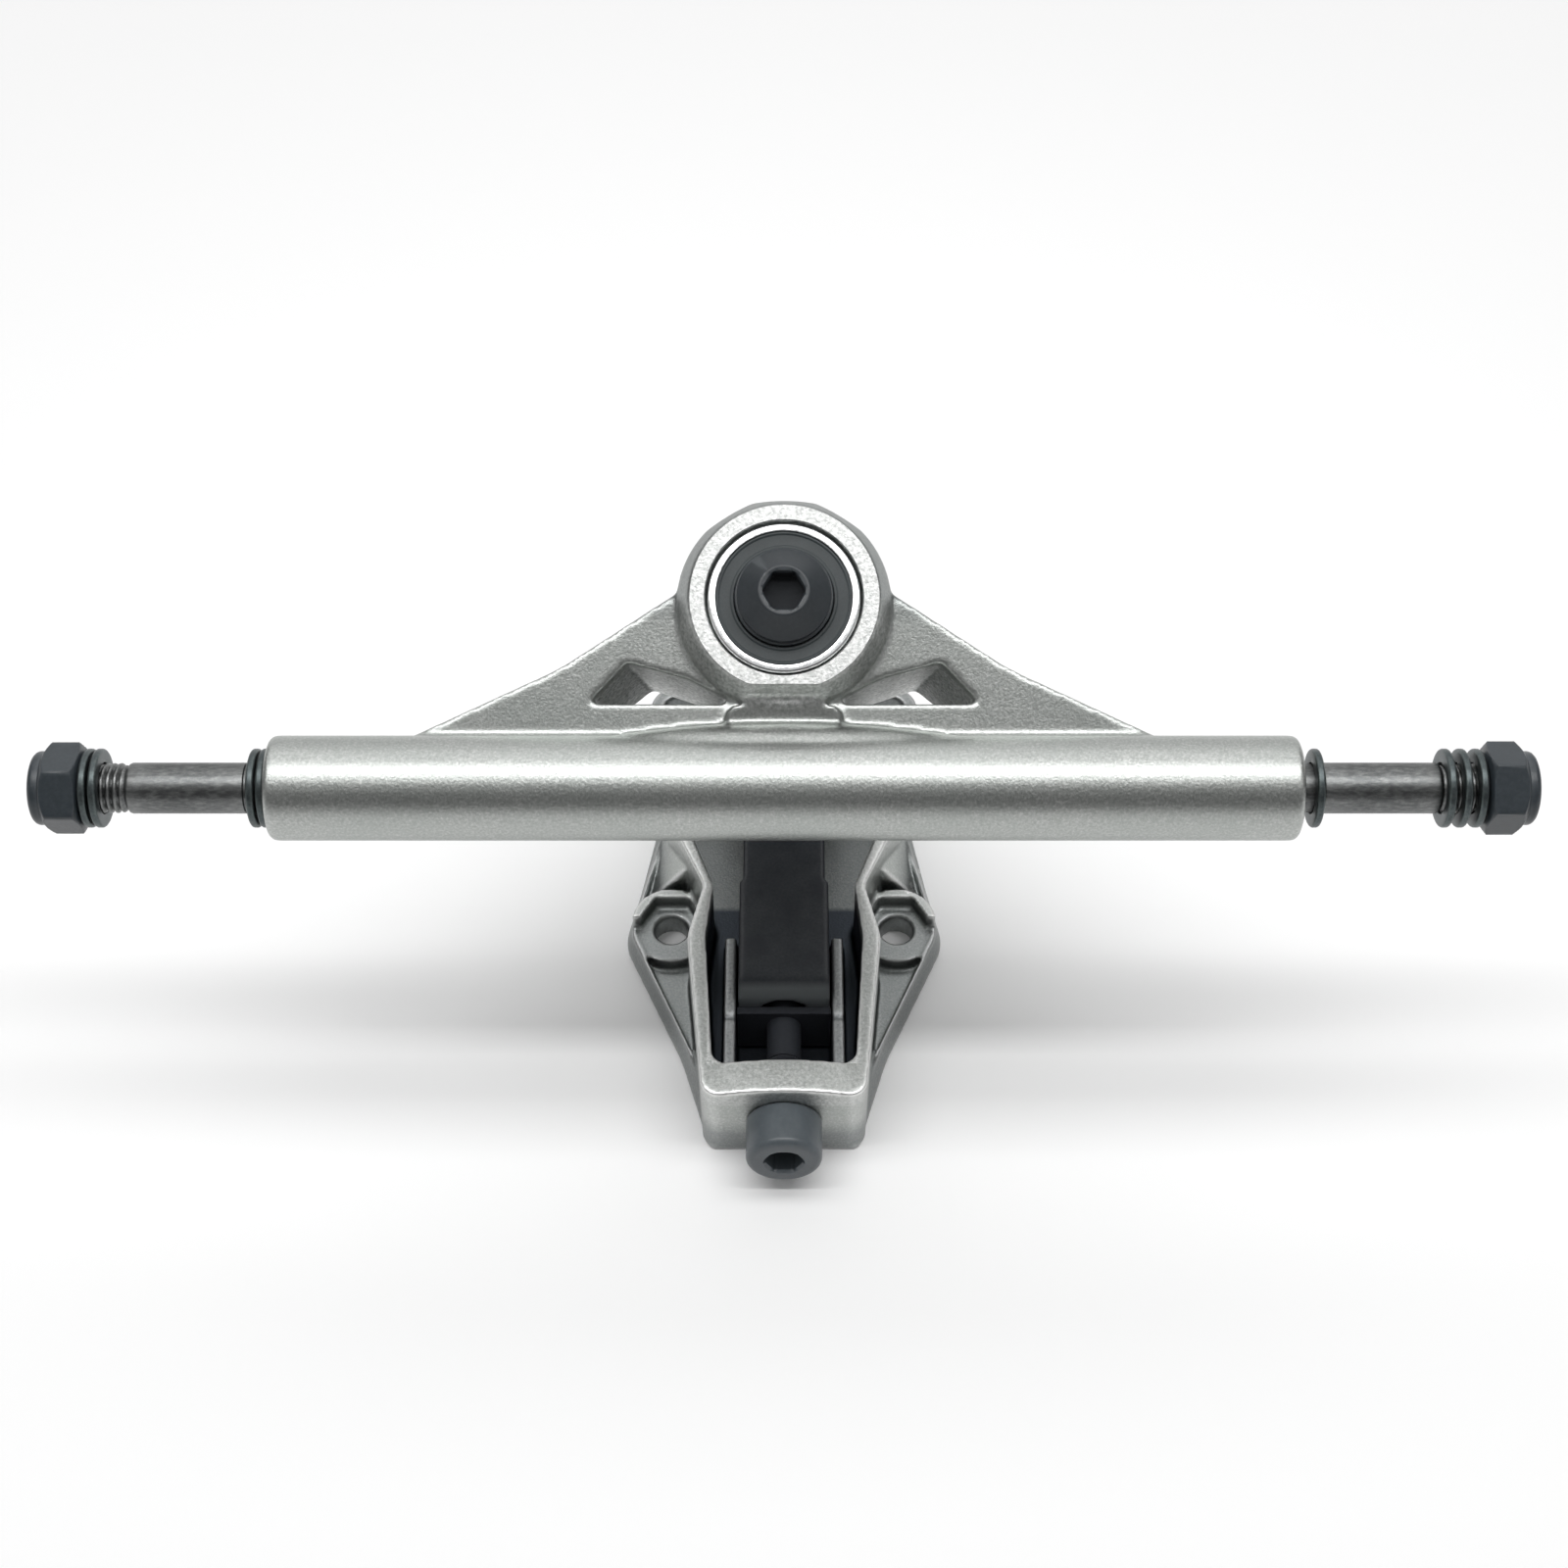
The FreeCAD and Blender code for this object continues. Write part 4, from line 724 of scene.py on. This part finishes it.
# %% [markdown]
# ## Rubber, nylon and urethane
# The bearing's seal, the nuts' locking rings and the return block are moulded. Such
# parts have no metal shine, only a matt grain. The return block also gets a lighter band
# painted along its front edge as a highlight. One recipe serves all three, because they
# differ in tone, gloss, grain and that painted highlight alone.

# %% Recipe for moulded parts
# Lighter tone painted along the return block's front edge, as a highlight.
BLOCK_HIGHLIGHT_TONE = (0.15, 0.165, 0.17)


def moulded(name, tone, light, gloss, grain_mm=0.35, height=0.25, painted_highlight_mask=None):
    """Moulded soft or plastic surface with a fine matt grain; the last mask marks where a lighter
    tone is painted in as a highlight.
    """
    material, tree, output = new_material(name)
    place = object_place(tree)
    fine = grain(tree, place, grain_mm, 3.0, 0.6)
    share = times(tree, fine, grain(tree, place, 5.0, 2.0))
    colour = mixed(tree, ramp(tree, share, [(0.15, 0.0), (0.45, 1.0)]), tone, light)
    # Painted highlight: the mask lightens the colour there.
    if painted_highlight_mask:
        colour = mixed(tree, painted_highlight_mask(tree, place), colour, BLOCK_HIGHLIGHT_TONE)
    dull = maths(tree, "MULTIPLY_ADD", fine, 0.2, gloss - 0.1)
    coat(tree, output, colour, dull, fine, (height, 0.06), {"Specular IOR Level": 0.45})
    return material


def block_edge_highlight(tree, place):
    """Painted highlight along the return block's rounded front edge, and its front face painted a
    little lighter.
    """
    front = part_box("return_block")[0][1] / MM
    ahead = apart(tree, place)[1]
    band = times(tree, within(tree, ahead, front + 0.5, front + 1.6, soft=1.3), 0.8)
    face = times(tree, fading(tree, ahead, front + 0.6, front + 0.1), 0.5)
    return either(tree, band, face)


seal_rubber = moulded("seal_rubber", (0.021, 0.028, 0.030), (0.034, 0.043, 0.046), 0.48)
nylon = moulded("locking_nylon", (0.035, 0.045, 0.052), (0.06, 0.07, 0.08), 0.45)
# The return block gets a painted highlight along its front edge and a lighter front face.
urethane = moulded("block_urethane", (0.020, 0.023, 0.031), (0.045, 0.050, 0.056), 0.42,
                   grain_mm=0.5, painted_highlight_mask=block_edge_highlight)
print("moulded finishes:", seal_rubber.name, nylon.name, urethane.name)

# %% [markdown]
# ## Finishes for the hidden pieces
# The pivot pin, its bearings and spacer are mostly out of sight, but the truck can be
# turned over or taken apart, so each gets the finish that it has in the hand.

# %% Paint the pieces that keep their own shape
FINISHES = (
    (ground_metal, ("kingpin", "bearing_spacer", "seat_washer")),
    (race_metal, ("upper_bearing_inner_race", "upper_bearing_balls", "lower_bearing_outer_race",
                  "lower_bearing_inner_race", "lower_bearing_balls")),
    (cage_metal, ("upper_bearing_cage", "lower_bearing_cage")),
    (seal_rubber, ("lower_bearing_seals",)),
    (nylon, ("nut_insert_left", "nut_insert_right")),
    (spring_metal, ("return_spring",)),
    # The thrust cup's oxide is painted darker, as the shade of the channel.
    (shaded_oxide, ("thrust_cup",)),
)
for material, node_names in FINISHES:
    for node_name in node_names:
        paint(node_name, material)
    print(material.name, "covers", ", ".join(node_names))

# %% [markdown]
# ## Axle
# The axle is one steel bar with a plain journal for each wheel, a shallow neck beside
# the hanger and a thread at each end. The thread is real here: the ring's radius depends
# on both the height and the angle, and a saw of one pitch per turn makes a helix.

# %% Measures of the axle
AXLE_PITCH = 1.06
AXLE_TIP = abs(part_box("axle")[1][0]) / MM
AXLE_RADIUS = 4.0
THREAD_START = AXLE_TIP - 13.9
THREAD_STOP = AXLE_TIP - 0.8
THREAD_CORE = 3.42
THREAD_DEPTH = 0.5
NECK_RADIUS = 3.83
NECK_END = TUBE_END + 3.8
JOURNAL_STEPS = 6
ROWS_PER_TURN = 8
print("axle tip at", round(AXLE_TIP, 2), "mm, thread from", round(THREAD_START, 2), "mm")


# %% Axle with its threads
def thread(height, core, crest, pitch):
    """Radius rule of a screw thread at a height."""
    def radius(angle):
        turn = (height / pitch - angle / (2 * math.pi)) % 1.0
        return core + (crest - core) * min(1.0, 1.35 * (1 - abs(2 * turn - 1)))
    return radius


def axle_end_rings():
    """Rings of one half of the axle, from inside the tube out to its tip."""
    rings = [(AXLE_RADIUS, TUBE_END - 1.3), (NECK_RADIUS, TUBE_END - 1.1),
             (NECK_RADIUS, NECK_END - 0.2), (AXLE_RADIUS, NECK_END)]
    step = (THREAD_START - 0.6 - NECK_END) / JOURNAL_STEPS
    rings += [(AXLE_RADIUS, NECK_END + step * count) for count in range(1, JOURNAL_STEPS + 1)]
    rings += [(3.86, THREAD_START - 0.25), (3.52, THREAD_START)]
    rows = int((THREAD_STOP - THREAD_START) / AXLE_PITCH * ROWS_PER_TURN)
    for row in range(1, rows + 1):
        height = THREAD_START + (THREAD_STOP - THREAD_START) * row / rows
        crest = THREAD_CORE + THREAD_DEPTH * min(1.0, row / ROWS_PER_TURN)
        rings.append((thread(height, THREAD_CORE, crest, AXLE_PITCH), height))
    return rings + [(3.3, AXLE_TIP - 0.25), (3.0, AXLE_TIP), (0, AXLE_TIP)]


right_half = axle_end_rings()
left_half = [(radius, -height) for radius, height in reversed(right_half)]
piece("axle_bar", skin("axle_bar", left_half + right_half, 64), on_axle(1),
      axle_metal, "hanger_body", ["axle"])

# %% [markdown]
# ## Lock nuts
# Each nut is a hexagon whose corners are turned off by a cone, with a rolled collar that
# holds a locking ring. The cone is a round limit on the hexagon's radius: several rings
# with a growing limit give the curved scallops that a real nut has at its corners.

# %% Measures of the nuts
NUT_FLATS = 12.7
NUT_CORNER = NUT_FLATS / math.sqrt(3) + 0.02
NUT_BORE = 3.75
NUT_HEX_HEIGHT = 6.0
NUT_HEIGHT = 7.8
NUT_FOOT_RADIUS = 6.2
NUT_SHOULDER_RADIUS = 5.97
COLLAR_RADIUS = 5.8
INSERT_SEAT = 7.45
NUT_TURN = {-1: math.radians(11), 1: math.radians(-18)}
NUT_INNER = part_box("axle_nut_right")[0][0] / MM
print("nuts start", round(NUT_INNER, 2), "mm from the middle")


# %% Nuts
def nut_rings(inner, turn):
    """Rings of a nut, from its bearing face over the hexagon and the collar into its mouth."""
    rings = [(NUT_BORE, inner), (5.55, inner), (5.75, inner + 0.12)]
    for step in range(5):
        share = step / 4
        limit = NUT_FOOT_RADIUS + (NUT_CORNER - NUT_FOOT_RADIUS) * share
        rings.append((hexagon(NUT_FLATS, turn, limit), inner + 0.15 + 0.55 * share))
    for step in range(7):
        share = step / 6
        limit = NUT_CORNER - (NUT_CORNER - NUT_SHOULDER_RADIUS) * share
        rings.append((hexagon(NUT_FLATS, turn, limit), inner + NUT_HEX_HEIGHT - 1.1 + 1.05 * share))
    rings.append((COLLAR_RADIUS - 0.02, inner + NUT_HEX_HEIGHT + 0.05))
    collar = rounded([(COLLAR_RADIUS, inner + NUT_HEX_HEIGHT, 0),
                      (COLLAR_RADIUS, inner + NUT_HEIGHT, 0.95),
                      (4.75, inner + NUT_HEIGHT, 0.25), (4.7, inner + INSERT_SEAT, 0),
                      (NUT_BORE, inner + INSERT_SEAT, 0)], 5)
    return rings + collar[1:]


for side, label in ((-1, "left"), (1, "right")):
    rings = nut_rings(NUT_INNER, NUT_TURN[side])
    piece(label + "_lock_nut", skin(label + "_lock_nut", rings, 120, closed=True), on_axle(side),
          oxide, label + "_nut", ["axle_nut_" + label])

# %% [markdown]
# ## Speed rings
# Thin washers keep the wheel bearings off the nut and the tube. They are stamped, so
# both rims are rounded and slightly polished. Each is its own mesh, but those that lie
# together stand for one node of the model and ride on the same body.

# %% Measures of the speed rings
SPEED_RING_BORE = 4.06
SPEED_RING_RADIUS = 6.2
SPEED_RING_THICKNESS = 1.2
SPEED_RINGS = (
    ("speed_rings_left_inner", -1, "left_inner_rings", [TUBE_END + gap for gap in (0.15, 1.65)]),
    ("speed_ring_right_inner", 1, "right_inner_ring", [TUBE_END + 2.1]),
    ("speed_rings_left_outer", -1, "left_nut",
     [NUT_INNER - gap - SPEED_RING_THICKNESS for gap in (0.2, 1.8)]),
    ("speed_rings_right_outer", 1, "right_nut",
     [NUT_INNER - gap - SPEED_RING_THICKNESS for gap in (0.5, 2.95, 5.4)]),
)
print("speed rings:", sum(len(starts) for node_name, side, body, starts in SPEED_RINGS))


# %% Washers along the axle
def speed_ring(name, start, side, body):
    """One washer whose inner face is start millimetres from the middle of the truck."""
    middle, end = start + SPEED_RING_THICKNESS / 2, start + SPEED_RING_THICKNESS
    line = rounded([(SPEED_RING_BORE, middle, 0), (SPEED_RING_BORE, start, 0.12),
                    (SPEED_RING_RADIUS, start, 0.4), (SPEED_RING_RADIUS, end, 0.4),
                    (SPEED_RING_BORE, end, 0.12), (SPEED_RING_BORE, middle, 0)], 4)
    mesh = skin(name, line[:-1], 72, closed=True)
    return piece(name, mesh, on_axle(side), ring_metal, body)


for node_name, side, body, starts in SPEED_RINGS:
    for count, start in enumerate(starts, 1):
        ring = speed_ring(node_name + "_" + str(count), start, side, body)
        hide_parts(node_name)

# %% [markdown]
# ## Ground ring face
# The hub ends in a ring face that was ground flat, so unlike the rest of the casting it
# has crisp edges. The softened casting can't show them, so a thin ring of its own
# carries that finish. It is cut off straight where the neck starts.

# %% Ground ring face of the hub
RIM_RADIUS = 14.86
RIM_WOBBLE = 0.07
RIM_CHORD = 13.85
RACE_SEAT = 12.46


def ring_rim(angle):
    """Outer radius of the ring face, cut off straight where the neck starts."""
    low_side = -math.sin(angle)
    chord = RIM_CHORD / low_side if low_side > 0.5 else RIM_RADIUS + 1
    return min(RIM_RADIUS + RIM_WOBBLE * math.cos(angle), chord)


def rim_less(amount):
    """Rim drawn in by an amount, for the small chamfer around the face."""
    return lambda angle: ring_rim(angle) - amount


face_rings = [(ring_rim, RING_FACE - 0.6), (ring_rim, RING_FACE - 0.06),
              (rim_less(0.05), RING_FACE + 0.02), (RACE_SEAT + 0.06, RING_FACE + 0.02),
              (RACE_SEAT, RING_FACE - 0.04), (RACE_SEAT, RING_FACE - 0.95)]
piece("ground_ring", skin("ground_ring", face_rings, 180, closed=True), on_pivot,
      ground_face, "hanger_body")

# %% [markdown]
# ## Top of the pivot
# Inside the ring face, past a narrow dark gap, sits the polished bearing race with a
# black seal. Over the seal lies a thin washer, held by a low button-head screw with a
# hexagon socket. All are turned shapes, so each is one outline swept about the pivot.

# %% Bearing race and seal
UPPER_FOOT = 101.1
RACE_TOP = UPPER_FOOT + 6
SEAL_TOP = UPPER_FOOT + 5.75
SEAL_FOOT = UPPER_FOOT + 5.25
SEAL_DISH = UPPER_FOOT + 5.62
race_line = rounded([(10.3, UPPER_FOOT + 3, 0), (10.3, UPPER_FOOT, 0.3), (12.0, UPPER_FOOT, 0.4),
                     (12.0, RACE_TOP, 0.45), (10.72, RACE_TOP, 0.12), (10.72, UPPER_FOOT + 5.3, 0),
                     (10.3, UPPER_FOOT + 5.2, 0), (10.3, UPPER_FOOT + 3, 0)], 5)
piece("upper_race_ring", skin("upper_race_ring", race_line[:-1], 128, closed=True), on_pivot,
      race_metal, "hanger_body", ["upper_bearing_outer_race"])
seal_line = rounded([(7.85, SEAL_FOOT, 0), (7.85, SEAL_TOP, 0.12), (8.25, SEAL_TOP, 0.12),
                     (8.5, SEAL_DISH, 0.1), (10.1, SEAL_DISH, 0.1), (10.35, SEAL_TOP, 0.1),
                     (10.65, SEAL_TOP, 0.1), (10.65, SEAL_FOOT, 0)], 3)
piece("upper_seal_disc", skin("upper_seal_disc", seal_line, 128, closed=True), on_pivot,
      seal_rubber, "hanger_body", ["upper_bearing_seals"])

# %% Washer under the cap screw
CAP_SEAT = RING_FACE - 0.3
CAP_WASHER = 0.8
CAP_WASHER_RADIUS = 7.75
CAP_HEAD_FOOT = CAP_SEAT + CAP_WASHER
washer_line = rounded([(4.0, CAP_SEAT, 0), (CAP_WASHER_RADIUS, CAP_SEAT, 0.1),
                       (CAP_WASHER_RADIUS, CAP_HEAD_FOOT, 0.25), (4.0, CAP_HEAD_FOOT, 0)], 3)
piece("cap_washer_disc", skin("cap_washer_disc", washer_line, 96, closed=True), on_pivot,
      oxide, "base", ["pivot_cap_washer"])


# %% Button-head cap screw
def button_head(foot, radius, height, socket_flats, depth):
    """Rings of a button-head screw from its thread's end, over the head, into the socket."""
    top = foot + height
    corner = socket_flats / math.sqrt(3)
    outside = rounded([(0, foot - 16, 0), (3.9, foot - 16, 0.5), (3.9, foot, 0),
                       (radius - 0.3, foot, 0), (radius, foot + 0.25, 0.1), (radius, foot + 0.8, 0.3),
                       (radius - 3.4, top, 0.45), (corner + 0.3, top, 0)], 5)
    mouth = hexagon(socket_flats + 0.5, limit=socket_flats / 2 + 0.45)
    wall = hexagon(socket_flats, limit=corner - 0.05)
    inside = [(mouth, top - 0.12), (wall, top - 0.5), (wall, top - depth),
              (hexagon(socket_flats - 0.6), top - depth - 0.1), (0, top - depth - 0.9)]
    return outside + inside


head_rings = button_head(CAP_HEAD_FOOT, radius=7.4, height=4.2, socket_flats=5.8, depth=2.7)
piece("pivot_cap_button", skin("pivot_cap_button", head_rings, 120), on_pivot,
      oxide, "base", ["pivot_cap_screw"])

# %% [markdown]
# ## Preload screw
# A big socket cap screw in the nose pushes the return block back. Its head is a plain
# cylinder with a rounded rim; the socket has a chamfered mouth. Head and thread are two
# meshes, because the thread, down in the channel, is painted darker as shade.

# %% Measures of the preload screw
SCREW_PITCH = 1.25
SCREW_HEAD_RADIUS = 6.5
SCREW_SOCKET_FLATS = 6.0
low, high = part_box("preload_screw")
head_face, tip = low[1] / MM, high[1] / MM
seat = head_face + 8.0
thread_stop = tip - 1.0
screw_height = (low[2] + high[2]) / 2 / MM
in_channel = Matrix.Translation((0, 0, screw_height * MM)) @ Matrix.Rotation(-math.pi / 2, 4, "X")
print("preload screw from", round(head_face, 2), "to", round(tip, 2), "mm")

# %% Head of the preload screw
socket_rings = [(0, head_face + 4.4), (hexagon(SCREW_SOCKET_FLATS - 0.6), head_face + 4.0),
                (hexagon(SCREW_SOCKET_FLATS), head_face + 3.9),
                (hexagon(SCREW_SOCKET_FLATS), head_face + 0.45),
                (hexagon(SCREW_SOCKET_FLATS + 0.9, limit=3.55), head_face + 0.02)]
rim_rings = rounded([(3.7, head_face, 0), (SCREW_HEAD_RADIUS, head_face, 1.25),
                     (SCREW_HEAD_RADIUS, seat, 0.2), (3.85, seat, 0)], 6)
rim_rings += [(3.5, seat + 0.4), (0, seat + 0.4)]
piece("preload_screw_head", skin("preload_screw_head", socket_rings + rim_rings, 96), in_channel,
      screw_oxide, "preload_bolt", ["preload_screw"])

# %% Thread of the preload screw
rows = int((thread_stop - seat) / SCREW_PITCH * ROWS_PER_TURN)
shank_rings = [(0, seat + 0.2), (3.4, seat + 0.2)]
for row in range(1, rows + 1):
    height = seat + (thread_stop - seat) * row / rows
    shank_rings.append((thread(height, 3.38, 3.95, SCREW_PITCH), height))
shank_rings += [(3.1, tip - 0.2), (2.9, tip), (0, tip)]
# The thread's oxide is painted darker, as the shade of the channel.
piece("preload_screw_thread", skin("preload_screw_thread", shank_rings, 96), in_channel,
      shaded_oxide, "preload_bolt", ["preload_screw"])

# %% [markdown]
# ## Return block
# The block is cast urethane. The hanger's lug squeezes it when the truck leans either
# way, and it springs back. Its mesh is copied from the model, rebuilt from small cubes and
# smoothed so that its edges are soft.

# %% Soft urethane block
BLOCK_CUBE_MM = 0.4
BLOCK_PASSES = 6
block = cad_nodes["return_block"].copy()
block.data = cad_nodes["return_block"].data.copy()
block.name = "urethane_block"
block.parent = None
block.matrix_world = Matrix.Identity(4)
scene.collection.objects.link(block)
soften(block, BLOCK_CUBE_MM, BLOCK_PASSES)
shaped_block = block.evaluated_get(bpy.context.evaluated_depsgraph_get())
ready = bpy.data.meshes.new_from_object(shaped_block)
bpy.data.objects.remove(block)
ready.name = "urethane_block"
ready.materials.clear()
soft_block = piece("urethane_block", ready, Matrix.Identity(4),
                   urethane, "base", ["return_block"])
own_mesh(soft_block)
